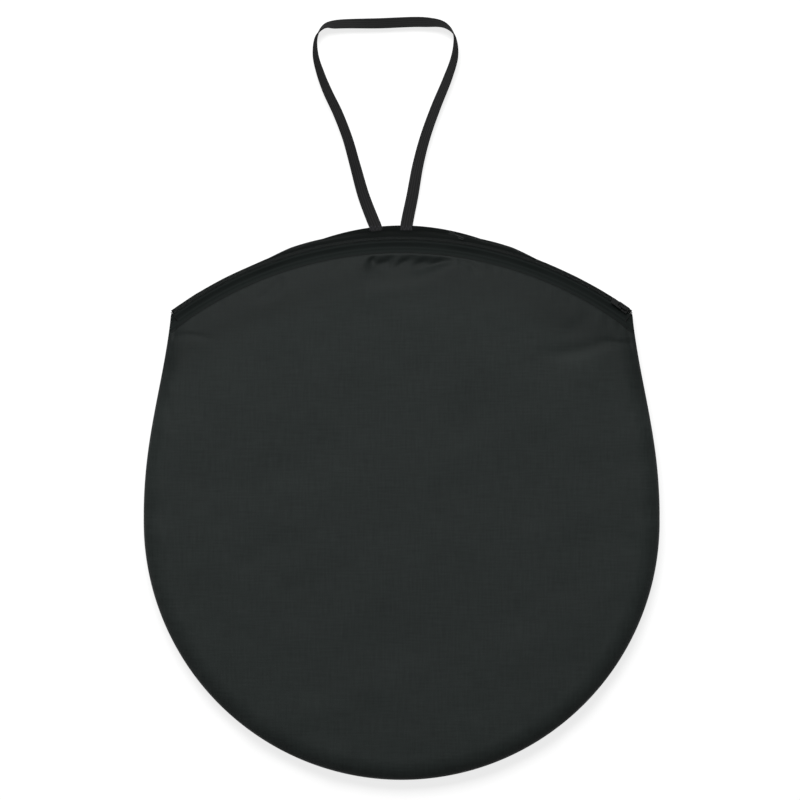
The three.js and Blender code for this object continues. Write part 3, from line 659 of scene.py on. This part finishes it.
# Rings that turn in at the hem: (distance from the outline, drop behind the panel's face).
TURNED_IN = [(9.0, 1.3), (4.5, 1.3), (1.2, 1.25), (0.35, 0.95), (0.0, 0.5), (0.3, 0.12), (0.9, 0.0)]
FACE_DROP = 0.2  # a ring that drops less than this belongs to the face
FIRST_GAP, GAP_GROWTH, WIDEST_GAP = 0.9, 0.13, 4.6  # between the face's outer rings
OUTER_REACH = 150  # they reach this far in
MIDDLE_SHARES = (0.06, 0.13, 0.21, 0.3, 0.4, 0.51, 0.62, 0.73, 0.84, 0.95)  # of the rest of the way


def ring_offsets():
    """Distances from the outline of a panel's outer rings, close together near it."""
    gaps = np.minimum(FIRST_GAP + GAP_GROWTH * np.arange(OUTER_REACH / FIRST_GAP), WIDEST_GAP)
    offsets = FIRST_GAP + np.cumsum(gaps)
    return offsets[offsets < OUTER_REACH]


def panel_grid(outline, hem, point_at, side):
    """A panel as rings of points from its turned-in edge to its middle. hem is 1 along the hem and 0
    along the side seam."""
    to_centre = POLAR_CENTRE - outline
    reach = np.linalg.norm(to_centre, axis=1)[:, None]
    ray = to_centre / reach
    hem = hem[:, None]
    rings = []
    for offset, drop in TURNED_IN:
        plan = outline + ray * np.where(hem > 0.5, offset, offset * 0.7)
        point = point_at(*plan.T)
        seamed = point
        if drop > FACE_DROP:
            level = np.full((len(plan), 1), SEAM_Z + side * (SEAM_GAP + 0.05))
            seamed = np.concatenate([plan, level], 1)
        rings.append((point - UP * side * drop) * hem + seamed * (1 - hem))
    fixed = ring_offsets()
    inner = [fixed[-1] + (reach - fixed[-1]) * share for share in MIDDLE_SHARES]
    for offset in [*fixed, *inner]:
        rings.append(point_at(*(outline + ray * offset).T))
    return np.stack(rings)


def panel_piece(name, outline, hem, point_at, side):
    """A panel with a thickness. Its inmost ring is closed by a fan round one more point, on each face."""
    rings = panel_grid(outline, hem, point_at, side)
    rows, columns = rings.shape[:2]
    faces = grid_faces(rows, columns, True)[:, ::-side]
    points, faces = thick_sheet(rings.reshape(-1, 3), faces, np.arange(columns)[::-side], CLOTH)
    faces = faces.tolist()
    layer = rows * columns
    middle = rings[-1].mean(0)
    points = np.concatenate([points, [middle, middle - UP * side * CLOTH]])
    for start, centre, turned in ((0, 2 * layer, side > 0), (layer, 2 * layer + 1, side < 0)):
        ring = start + layer - columns + np.arange(columns)
        after = np.roll(ring, -1)
        order = (after, ring) if turned else (ring, after)
        faces += np.stack([*order, np.full(columns, centre)], -1).tolist()
    return make_piece(name, points, faces, NYLON, uvs=points[:, :2])


def with_hem(seam, hem):
    """A panel's outline, and how much each of its points belongs to the hem. The change between seam and
    hem runs over a few points at each corner."""
    share = np.concatenate([np.zeros(len(seam)), np.ones(len(hem))])
    softened = sum(np.roll(share, k) for k in range(-3, 4)) / 7
    return np.concatenate([seam, hem]), softened


def front_outline():
    rim = evenly(rim_line(), 4.0)
    inside = rim[arc_coordinates(rim[:, 0], rim[:, 1])[0] < HEM_RADIUS]
    corner = arc_coordinates(*inside[0])[1]
    count = int(np.radians(2 * corner) * HEM_RADIUS / 1.6)
    return with_hem(inside, on_arc(HEM_RADIUS, np.linspace(-corner, corner, count + 1)[1:-1])[:, :2])


def back_edge_radius(angle):
    """Distance of the back panel's mouth edge from the zip's centre, past the zip in the middle."""
    size = np.abs(angle)
    bulge = BACK_BULGE * np.cos(np.pi / 2 * np.minimum(size / BACK_CROSS_ANGLE, 1))
    past = np.clip((size - BACK_CROSS_ANGLE) / (EAR_ANGLE - BACK_CROSS_ANGLE), 0, 1)
    return ZIP_RADIUS + np.where(size < BACK_CROSS_ANGLE, bulge, -BACK_TUCK * np.sin(np.pi * past))


def back_outline():
    angles = np.linspace(-EAR_ANGLE, EAR_ANGLE, 250)[1:-1]
    return with_hem(evenly(rim_line(), 5.0), on_arc(back_edge_radius(angles), angles)[:, :2])


def front_cloth():
    outline, hem = front_outline()
    piece = panel_piece("front_cloth", outline, hem, front_point, 1)
    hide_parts("bag_front_panel", "mouth_flap_panel")
    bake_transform(piece)


def back_cloth():
    outline, hem = back_outline()
    piece = panel_piece("back_cloth", outline, hem, back_point, -1)
    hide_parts("bag_back_panel")
    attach(piece, "bag")


# ---- Strips that follow the zip's arc or the side seam ----

def strip(name, lines, thickness, material, closed=False):
    """A thin strip with rounded edges, through centre lines of shape (stations, points across, 3).
    Gives the piece and its flat size in metres."""
    lines = np.asarray(lines)
    stations, count = lines.shape[:2]
    normal = unit(np.cross(np.gradient(lines, axis=0), np.gradient(lines, axis=1)))
    half = np.full(count, thickness / 2)
    half[0] = half[-1] = thickness / 5
    offset = normal * half[None, :, None]
    sections = np.concatenate([lines + offset, (lines - offset)[:, ::-1]], axis=1)
    widths, lengths = distances(lines[stations // 2]), distances(lines[:, count // 2])
    uvs = grid_uvs(np.concatenate([widths, widths[::-1]])[None, :], lengths[:, None])
    piece = make_piece(name, *swept(sections, closed), material, uvs=uvs)
    return piece, (widths[-1] * MM, lengths[-1] * MM)


def spline(points, per_span):
    """A centripetal Catmull-Rom curve through points, as three.js draws it."""
    points = np.asarray(points, float)
    padded = np.concatenate([[2 * points[0] - points[1]], points, [2 * points[-1] - points[-2]]])
    curve = []
    for k in range(1, len(padded) - 2):
        a, b, c, d = padded[k - 1:k + 3]
        before, span, after = (max(np.linalg.norm(q - p) ** 0.5, 1e-4) for p, q in ((a, b), (b, c), (c, d)))
        leave = ((b - a) / before - (c - a) / (before + span) + (c - b) / span) * span
        arrive = ((c - b) / span - (d - b) / (span + after) + (d - c) / after) * span
        share = np.linspace(0, 1, per_span, endpoint=False)[:, None]
        cube, square = share**3, share**2
        curve.append(
            b * (2 * cube - 3 * square + 1) + leave * (cube - 2 * square + share)
            + c * (3 * square - 2 * cube) + arrive * (cube - square)
        )
    return np.concatenate([*curve, [padded[-2]]])


def smooth_profile(knots, count):
    """A smooth line through (radius, height) knots: its radii and its heights."""
    fine = spline(knots, 8)
    along = distances(fine)
    return resampled(fine, along, np.linspace(0, along[-1], count)).T


COIL_REACH = 2.9  # from the line where the coils meet to each coil's outer side
TAPE_EDGE_GAP = 0.25  # each tape's edge stops short of that line, under its coil
TAPE_UNDER_COIL = SEAM_Z - 1.5
TAPE_END_IN_SEAM = 0.06  # degrees from the side seam to the end of the tape in view
TAPE_END_TUCKED = 0.25  # and to its end under the front panel


def rim_angle(radius):
    """The angle at which the side seam is reached, at a distance from the zip's centre."""
    radii, angles = arc_coordinates(SIDE[:, 0], SIDE[:, 1])
    return np.interp(radius, radii[::-1], angles[::-1])


def front_zip_tape():
    """The front half's tape runs out from under the hem, dips and comes up to the coil."""
    shares = np.linspace(-1, 1, 360)
    sag = ripples(31, 60)(shares * 300, 0 * shares) * 0.3
    start = ZIP_RADIUS - COIL_REACH + 0.8
    tuck = 2.3 + 1.5 * smoothstep(0.9, 0.99, np.abs(shares))

    def cloth_height(inside_hem):
        radius = HEM_RADIUS - inside_hem
        place = on_arc(radius, shares * (rim_angle(radius) - TAPE_END_TUCKED))
        return front_point(*place.T[:2])[:, 2]

    lines = []
    heights = zip(shares, sag, cloth_height(0), cloth_height(3), cloth_height(8) - tuck)
    for share, dip, hem_z, near_z, under_z in heights:
        fall = hem_z - SEAM_Z
        knots = [
            (HEM_RADIUS - 8, under_z),
            (HEM_RADIUS - 3, near_z - 2.2),
            (HEM_RADIUS + 0.8, hem_z - 1.35),
            (HEM_RADIUS + 2.4, SEAM_Z + fall * 0.55),
            (HEM_RADIUS + 4.3, SEAM_Z - 0.7 + dip * 0.5),
            (HEM_RADIUS + 6.2, SEAM_Z - 1.9 + dip),
            (HEM_RADIUS + 9.5, SEAM_Z - 1.1 + dip * 0.5),
            (start - 1.4, SEAM_Z + 0.1),
            (start, TAPE_UNDER_COIL + 0.6),
            (ZIP_RADIUS - TAPE_EDGE_GAP - 1, TAPE_UNDER_COIL),
            (ZIP_RADIUS - TAPE_EDGE_GAP, TAPE_UNDER_COIL),
        ]
        radii, rise = smooth_profile(knots, 24)
        short = np.where(radii > HEM_RADIUS + 1, TAPE_END_IN_SEAM, TAPE_END_TUCKED)
        lines.append(on_arc(radii, share * (rim_angle(radii) - short), rise))
    piece, flat = strip("front_zip_tape_knit", lines, TAPE, ZIP_TAPE)
    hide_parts("front_zip_tape", "front_tape_end_left", "front_tape_end_right")
    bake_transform(piece)


def back_zip_tape():
    """The back half's tape turns down beside the coil and runs in under the mouth binding. It spreads
    out in the middle, where the mouth's edge stands off from the zip."""
    angles = np.linspace(-TACK_ANGLE, TACK_ANGLE, 360)
    lean = 5 - 7 * (angles / EAR_ANGLE) ** 2
    sways = ripples(33, 42)(angles * 8.5, 0 * angles) * 0.45
    spreads = 1 - smoothstep(13, 24, np.abs(angles))
    start = ZIP_RADIUS + COIL_REACH - 0.8
    lines = []
    for angle, reach, sway, spread in zip(angles, lean, sways, spreads):
        bend = ZIP_RADIUS + COIL_REACH + 0.6 + 2.1 * spread
        reach = min(reach, 5 * spread - 1.5 * (1 - spread))
        foot = on_arc(bend + reach, angle)
        low = float(np.clip(back_height(foot[0], foot[1]) + 2.0, 3.2, SEAM_Z - 2))
        drop = SEAM_Z - low
        knots = [
            (ZIP_RADIUS + TAPE_EDGE_GAP, TAPE_UNDER_COIL),
            (ZIP_RADIUS + TAPE_EDGE_GAP + 1, TAPE_UNDER_COIL),
            (start, TAPE_UNDER_COIL + 0.2),
            (bend, SEAM_Z - 0.2 * drop),
            (bend + reach * 0.45 + sway, SEAM_Z - 0.5 * drop),
            (bend + reach * 0.85 + sway * 0.5, SEAM_Z - 0.86 * drop),
            (bend + reach + 0.2, low),
            (bend + reach - 1.6, low - 0.15),
        ]
        radii, rise = smooth_profile(knots, 20)
        lines.append(on_arc(radii, angle, rise))
    piece, flat = strip("back_zip_tape_knit", lines, TAPE, BINDING)
    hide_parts("back_zip_tape")
    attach(piece, "bag")


def mouth_binding():
    """Binding folded over the back panel's edge at the mouth."""
    lines = []
    for angle in np.linspace(-EAR_ANGLE + 0.6, EAR_ANGLE - 0.6, 320):
        edge = float(back_edge_radius(angle))
        base, rim_z = (float(back_height(*on_arc(edge - inside, angle)[:2])) for inside in (8, 0))
        knots = [
            (edge - 8.5, base + 1.95),
            (edge - 5, base + 2.15),
            (edge - 1.5, rim_z + 1.95),
            (edge + 0.5, rim_z + 1.15),
            (edge + 0.3, rim_z + 0.3),
        ]
        radii, rise = smooth_profile(knots, 14)
        lines.append(on_arc(radii, angle, rise))
    piece, flat = strip("mouth_binding", lines, 0.5, BINDING)
    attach(piece, "bag")


def seam_binding():
    """Binding folded over the edges of the two panels' seam allowances, inside the bag."""
    rim = evenly(rim_line(), 6.0)[8:-8]
    inward = unit(POLAR_CENTRE - rim)
    turn = np.radians(np.linspace(90, -90, 9))
    fold = [(5.7 + 0.9 * np.cos(t), 0.85 * np.sin(t)) for t in turn]
    profile = np.array([(1.8, 0.7), (3.6, 0.95), *fold, (3.6, -0.95), (1.8, -0.7)])
    puckers = ripples(51, 16)(np.arange(len(rim)) * 6.0, np.zeros(len(rim))) * 0.18
    plan = rim[:, None, :] + inward[:, None, :] * profile[None, :, :1]
    z = SEAM_Z + profile[None, :, 1] + puckers[:, None]
    piece, flat = strip("seam_binding_tape", np.concatenate([plan, z[..., None]], -1), 0.35, BINDING)
    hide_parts("seam_binding")
    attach(piece, "bag")


# ---- Zip coils ----
COIL_PITCH = 1.75
COIL_POINTS = 10  # round each turn
COIL_REACH_IN = 0.75  # how far each coil's heads pass the line where they meet
COIL_WIRE = 0.33  # radius
COIL_LIFT = 0.72  # half the coil's height, to the middle of the wire
COIL_SHORT = 0.2  # degrees from each end tack to the coil's end


def coil_helix(side, lag):
    """One half's coil as a helix whose heads reach between the other half's. side is -1 in front and 1
    behind, and lag is the share of a turn that it is shifted by."""
    inner, outer = -COIL_REACH_IN, COIL_REACH - 0.35
    turns = np.radians(2 * (TACK_ANGLE - COIL_SHORT)) * ZIP_RADIUS / COIL_PITCH
    phase = np.linspace(0, turns, int(turns * COIL_POINTS)) + lag
    swing = np.cos(2 * np.pi * phase)
    across = (inner + outer) / 2 - (outer - inner) / 2 * swing
    lift = COIL_LIFT * np.sin(2 * np.pi * phase)
    angle = np.degrees((phase - lag) * COIL_PITCH / ZIP_RADIUS) - (TACK_ANGLE - COIL_SHORT)
    path = on_arc(ZIP_RADIUS + side * across, angle, SEAM_Z + lift)
    axis = on_arc(ZIP_RADIUS + side * (inner + outer) / 2, angle, SEAM_Z)
    return tube(path, COIL_WIRE, unit(path - axis), sides=5)


def zip_coils():
    front = make_piece("front_zip_coil_helix", *coil_helix(-1, 0.0), COIL)
    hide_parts("front_zip_coil", "front_coil_end_left", "front_coil_end_right")
    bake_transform(front)
    back = make_piece("back_zip_coil_helix", *coil_helix(1, 0.5), COIL)
    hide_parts("back_zip_coil")
    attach(back, "bag")


# ---- Stitching ----

def stitch_row(line, length=2.7, gap=0.9, radius=0.2):
    """Stitches along a dense line: short arched lengths of thread whose ends go into the cloth."""
    along = distances(line)
    arch = np.outer([-0.3, 0.08, 0.16, 0.16, 0.08, -0.3], UP)
    parts = []
    for start in np.arange(0, along[-1] - length, length + gap):
        centre = resampled(line, along, start + np.linspace(0, 1, 6) * length)
        parts.append(tube(centre + arch, radius, UP))
    return joined(parts)


def front_hem_stitching():
    """Topstitching along the fold of the front panel's hem, in near-black thread that is also a painted
    shadow line along the fold.
    """
    last = rim_angle(HEM_RADIUS - HEM_SEAM) - 0.5
    line = on_arc(HEM_RADIUS - HEM_SEAM, np.linspace(-last, last, 900))
    line = front_point(*line.T[:2])
    piece = make_piece("front_hem_stitches", *stitch_row(line, gap=0.5, radius=0.42), HEM_SHADOW_THREAD)
    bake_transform(piece)


def mouth_binding_stitching():
    """Stitching along the binding at the mouth."""
    angles = np.linspace(-EAR_ANGLE + 2, EAR_ANGLE - 2, 700)
    line = on_arc(back_edge_radius(angles) - 2.6, angles)
    line[:, 2] = back_height(*line.T[:2]) + 2.35
    piece = make_piece("mouth_binding_stitches", *stitch_row(line), THREAD)
    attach(piece, "bag")


# From the edge of the back panel's hem up over the zip tape that turns down beside it.
LAP_LINE = [
    (59.5, 362.2, 3.3), (64.5, 359.6, 6.6), (70.0, 356.8, 12.2), (75.5, 354.1, 17.6), (78.5, 352.6, 18.1),
]
LAP_ASIDE = np.array([0.44, 0.9, 0])  # from the middle of the lap to one of its two rows


def binding_lap_stitching():
    """Beside the strap the binding's two ends lap, and are sewn down with two rows on the diagonal, in pale
    thread that is a painted highlight for the light caught along the lap.
    """
    line = evenly(np.array(LAP_LINE), 0.5)
    rows = [stitch_row(line + aside * LAP_ASIDE, length=2.6, gap=0.6, radius=0.4) for aside in (-1, 1)]
    piece = make_piece("binding_lap_stitches", *joined(rows), LAP_HIGHLIGHT_THREAD)
    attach(piece, "bag")


def bar_tack(node, centre, along, across, size, rows, surface, material, radius):
    """A bar tack in a node's place: close zigzag thread, of that size along and across, lying on a
    surface whose heights are given as (place along the tack, height)."""
    length, width = size
    count = rows * 2 + 1
    share = np.linspace(-0.5, 0.5, count)
    swing = np.where(np.arange(count) % 2 == 0, -0.5, 0.5)
    dense = evenly(centre + np.outer(share * length, along) + np.outer(swing * width, across), 0.45)
    edge = np.abs((dense - centre) @ across) / (width / 2)
    height = np.interp((dense - centre) @ along, *zip(*surface))
    dense[:, 2] = height + 0.22 - 0.4 * smoothstep(0.75, 1.0, edge)
    piece = make_piece(f"{node}_thread", *tube(dense, radius, UP), material)
    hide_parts(node)
    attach(piece, "bag")


# Height of the tape and coils above the seam's level under an end tack: (place along the tack, height).
TACK_RISE = [(-8, 0.8), (-4, -0.7), (0, -0.4), (2.5, 0.4), (4.5, 1.0), (8, 1.0)]
END_TACK = (15.5, 2.6)  # length across the zip, and width
STRAP_TACK_PROUD = 3.4  # the strap's stitches run past its tack node's box, over both edges together


def tacks():
    right, forward = np.array([1.0, 0, 0]), np.array([0, 1.0, 0])
    strap_top = STRAP_REST_Z + 0.75
    for name in ("left", "right"):
        low, high = node_box(f"strap_tack_{name}")
        centre = np.array([*(low + high)[:2] / 2, strap_top])
        size = (high[0] - low[0], high[1] - low[1] + STRAP_TACK_PROUD)
        bar_tack(f"strap_tack_{name}", centre, right, forward, size, 3, [(0, strap_top)], TACK_THREAD, 0.42)
    surface = [(place, SEAM_Z + rise) for place, rise in TACK_RISE]
    for name, side in (("left", -1), ("right", 1)):
        angle = side * (TACK_ANGLE + 0.1)
        centre = on_arc(ZIP_RADIUS - 6, angle, SEAM_Z)
        radial = unit(on_arc(1000, angle) - on_arc(0, angle))
        around = np.array([radial[1], -radial[0], 0.0])
        bar_tack(f"zip_end_tack_{name}", centre, radial, around, END_TACK, 17, surface, THREAD, 0.24)


# ---- Carry strap ----
STRAP_SEWN_Y = 362.8  # the webbing's sewn ends reach down to here
STRAP_SPAN = 12  # points from one place on the route to the next
HALF_WEBBING = 0.71  # half the webbing's thickness between ribs


def strap_path():
    """The strap's centre line and roll, from under the zip tape round the loop and back."""
    route = [(STRAP_ROUTE[0][0] + 2.6, STRAP_SEWN_Y, STRAP_REST_Z, 0)]
    for k, (x, y, roll) in enumerate(STRAP_ROUTE):
        roll = math.radians(roll)
        sewn = k < 2 or k > len(STRAP_ROUTE) - 3
        lift = STRAP_WIDTH / 2 * math.sin(roll) + CAD_STRAP_THICKNESS / 2 + STRAP_CLEARANCE
        route.append((x, y, STRAP_REST_Z if sewn else lift, roll))
    route.append((STRAP_ROUTE[-1][0] - 1.0, STRAP_SEWN_Y, STRAP_REST_Z, 0))
    route = np.array(route)
    centre = spline(route[:, :3], STRAP_SPAN)
    roll = np.interp(np.arange(len(centre)) / STRAP_SPAN, np.arange(len(route)), route[:, 3])
    ease = np.hanning(STRAP_SPAN + 1)
    roll = np.convolve(np.pad(roll, STRAP_SPAN // 2, mode="edge"), ease / ease.sum(), mode="valid")
    return centre, roll


def strap_section():
    """Half of the webbing's section: across, and half thickness with lengthwise ribs."""
    across = np.linspace(-1, 1, 45) * (STRAP_WIDTH / 2 - 0.35)
    ribs = RIB_HEIGHT * np.cos(2 * np.pi * across / RIB_PITCH)
    selvedge = 0.06 * smoothstep(6.0, 6.6, np.abs(across))
    return across, HALF_WEBBING + ribs + selvedge


def carry_strap():
    centre, roll = strap_path()
    along = distances(centre)
    wanted = np.linspace(0, along[-1], int(along[-1] / 2.2))
    roll = np.interp(wanted, along, roll)[:, None]
    centre = resampled(centre, along, wanted)
    tangent = unit(np.gradient(centre, axis=0))
    outside = unit(np.cross(UP, tangent))
    side = outside * np.cos(roll) + unit(np.cross(tangent, outside)) * np.sin(roll)
    top = unit(np.cross(tangent, side))
    across, half = strap_section()
    edge = np.array([-0.08, 0.0, -0.08]) + STRAP_WIDTH / 2
    wide = np.concatenate([across, edge, across[::-1], -edge])
    high = np.concatenate([half, [0.4, 0.0, -0.4], -half[::-1], [-0.4, 0.0, 0.4]])
    sections = centre[:, None] + side[:, None] * wide[None, :, None] + top[:, None] * high[None, :, None]
    uvs = grid_uvs(wide[None, :], wanted[:, None])
    piece = make_piece("carry_strap_webbing", *swept(sections), WEBBING, uvs=uvs)
    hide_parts("carry_strap", "strap_end_left", "strap_end_right")
    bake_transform(piece)


# ---- Folded panel ----
SLEEVE_SPACING = 3.4  # between points along the sleeve
FLANGE = 1.5  # width of the sleeve's sewn edges
SHEET_CLOTH = 0.4


def hoop_path():
    """The hoop's centre line: closed after three turns that lie round each other like a rope's strands."""
    count = int(TURNS * 2 * np.pi * RING_RADIUS / SLEEVE_SPACING)
    turn = np.linspace(0, 2 * np.pi * TURNS, count, endpoint=False)
    lay = turn / TURNS
    radius = RING_RADIUS + LAY_RADIUS * np.cos(lay)
    return np.stack([radius * np.cos(turn), radius * np.sin(turn), SEAM_Z + LAY_RADIUS * np.sin(lay)], -1)


def hoop_sleeve():
    """The sewn sleeve: a tape gathered round the hoop, its two edges sewn together as a flange inside."""
    path = hoop_path()
    radial = unit(path * [1, 1, 0])
    radius = SLEEVE_RADIUS - 0.5
    turn = np.radians(np.linspace(164, -164, 17))
    round_part = [(radius * math.cos(t), radius * math.sin(t)) for t in turn]
    profile = np.array([(-radius - FLANGE, 0.32), *round_part, (-radius - FLANGE, -0.32)])
    along = np.arange(len(path)) * SLEEVE_SPACING
    around = np.arange(len(profile)) * 1.6
    gathers = 1 + ripples(61, 9)(along[:, None], around[None, :]) * 0.045
    across, rise = (profile[None, :, k, None] * gathers[..., None] for k in (0, 1))
    lines = path[:, None] + radial[:, None] * across + UP * rise
    piece, flat = strip("hoop_sleeve_cloth", lines, 0.5, SLEEVE, closed=True)
    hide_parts("hoop_sleeve")
    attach(piece, "pack")


def folded_sheet(name, node, side, material):
    """One of the panel's two sheets, in three layers joined by two folds, creased by the folding."""
    bend = FOLD_SPACING / 2
    offset = side * SHEET_OFFSET
    outer = np.linspace(4 - PANEL_RADIUS, FOLD_HALF_SPAN, 60)
    middle = np.linspace(FOLD_HALF_SPAN, -FOLD_HALF_SPAN, 56)
    turn = np.radians(np.linspace(-90, 90, 9)[1:-1])
    path = [(x, -FOLD_SPACING + offset) for x in outer]
    for hand, layer, level in ((1, middle, -offset), (-1, -outer, FOLD_SPACING + offset)):
        radius = bend - hand * offset
        fold = hand * (FOLD_HALF_SPAN + radius * np.cos(turn)), radius * np.sin(turn) - hand * bend
        path += [*zip(*fold)] + [(x, level) for x in layer]
    path = np.array(path)
    chord = np.sqrt(np.maximum((PANEL_RADIUS - 1) ** 2 - path[:, 0] ** 2, 4))
    share = np.sin(np.linspace(-np.pi / 2, np.pi / 2, 72))
    y = share[None, :] * chord[:, None]
    x = np.broadcast_to(path[:, 0][:, None], y.shape)
    wrinkles = 0.75 * ripples(71, 70, stretch=(1, 2.2))(x, y) + 0.3 * ripples(72, 24)(x, y)
    fade = 1 - smoothstep(0.9, 1.0, np.hypot(x, y) / PANEL_RADIUS)
    z = SEAM_Z + path[:, 1][:, None] + wrinkles * (0.35 + 0.65 * fade)
    points = np.stack([x, y, z], -1).reshape(-1, 3)
    ids = np.arange(len(points)).reshape(y.shape)
    edge = np.concatenate([ids[0, :-1], ids[:-1, -1], ids[-1, :0:-1], ids[:0:-1, 0]])
    solid = thick_sheet(points, grid_faces(*y.shape, False), edge, SHEET_CLOTH)
    lengths = distances(path)
    uvs = grid_uvs(lengths[:, None], y)
    piece = make_piece(name, *solid, material, uvs=np.concatenate([uvs, uvs]))
    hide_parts(node)
    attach(piece, "pack")


# ---- Slider, hoop and ferrule keep their CAD shape ----

KEPT_NODES = {
    "slider_body": PAINTED, "slider_bail": PAINTED, "pull_tab": PAINTED, "spring_hoop": STEEL,
    "hoop_ferrule": STEEL,
}


def paint_nodes():
    for node, material in KEPT_NODES.items():
        materials = frame["nodes"][node].data.materials
        materials.clear()
        materials.append(material)


# ---- Floor, light and camera, in metres ----
FLOOR_HALF, FLOOR_Z = 30, -0.0006
AIR_STRENGTH = 0.14
LAMP_SIZE, LAMP_POWER, LAMP_PLACE = (2.6, 1.8), 390, (-0.5, 2.7, 3.7)
CAMERA_X, CAMERA_Y = -0.0021, 0.1524  # the middle of the photo's frame
CAMERA_LENS, CAMERA_SENSOR = 200, 36  # millimetres
VIEW_WIDTH = 1.0  # width of the view at the seam's level


def studio():
    scene = bpy.context.scene
    mesh = bpy.data.meshes.new("floor")
    corners = [(FLOOR_HALF * x, FLOOR_HALF * y, FLOOR_Z) for x, y in ((-1, -1), (1, -1), (1, 1), (-1, 1))]
    mesh.from_pydata(corners, [], [(0, 1, 2, 3)])
    mesh.materials.append(PALE_FLOOR)
    floor = bpy.data.objects.new("floor", mesh)
    scene.collection.objects.link(floor)

    world = bpy.data.worlds.new("studio_air")
    world.use_nodes = True
    background = world.node_tree.nodes["Background"].inputs
    background["Color"].default_value = (1, 1, 1, 1)
    background["Strength"].default_value = AIR_STRENGTH
    scene.world = world

    lamp = bpy.data.lights.new("softbox", "AREA")
    lamp.shape = "RECTANGLE"
    lamp.size, lamp.size_y = LAMP_SIZE
    lamp.energy = LAMP_POWER
    softbox = bpy.data.objects.new("softbox", lamp)
    softbox.location = LAMP_PLACE
    softbox.rotation_mode = "QUATERNION"
    softbox.rotation_quaternion = (-softbox.location).to_track_quat("-Z", "Y")
    scene.collection.objects.link(softbox)

    optics = bpy.data.cameras.new("camera")
    optics.lens = CAMERA_LENS
    optics.sensor_width = CAMERA_SENSOR
    camera = bpy.data.objects.new("camera", optics)
    camera.location = (CAMERA_X, CAMERA_Y, SEAM_Z * MM + VIEW_WIDTH * CAMERA_LENS / CAMERA_SENSOR)
    scene.collection.objects.link(camera)
    scene.camera = camera
    scene.view_settings.view_transform = "Standard"


studio()
front_cloth()
back_cloth()
front_zip_tape()
back_zip_tape()
mouth_binding()
seam_binding()
zip_coils()
front_hem_stitching()
mouth_binding_stitching()
binding_lap_stitching()
tacks()
carry_strap()
hoop_sleeve()
folded_sheet("front_sheet_cloth", "panel_front_sheet", 1, BLACK_COTTON)
folded_sheet("reverse_sheet_cloth", "panel_reverse_sheet", -1, WHITE_COTTON)
paint_nodes()
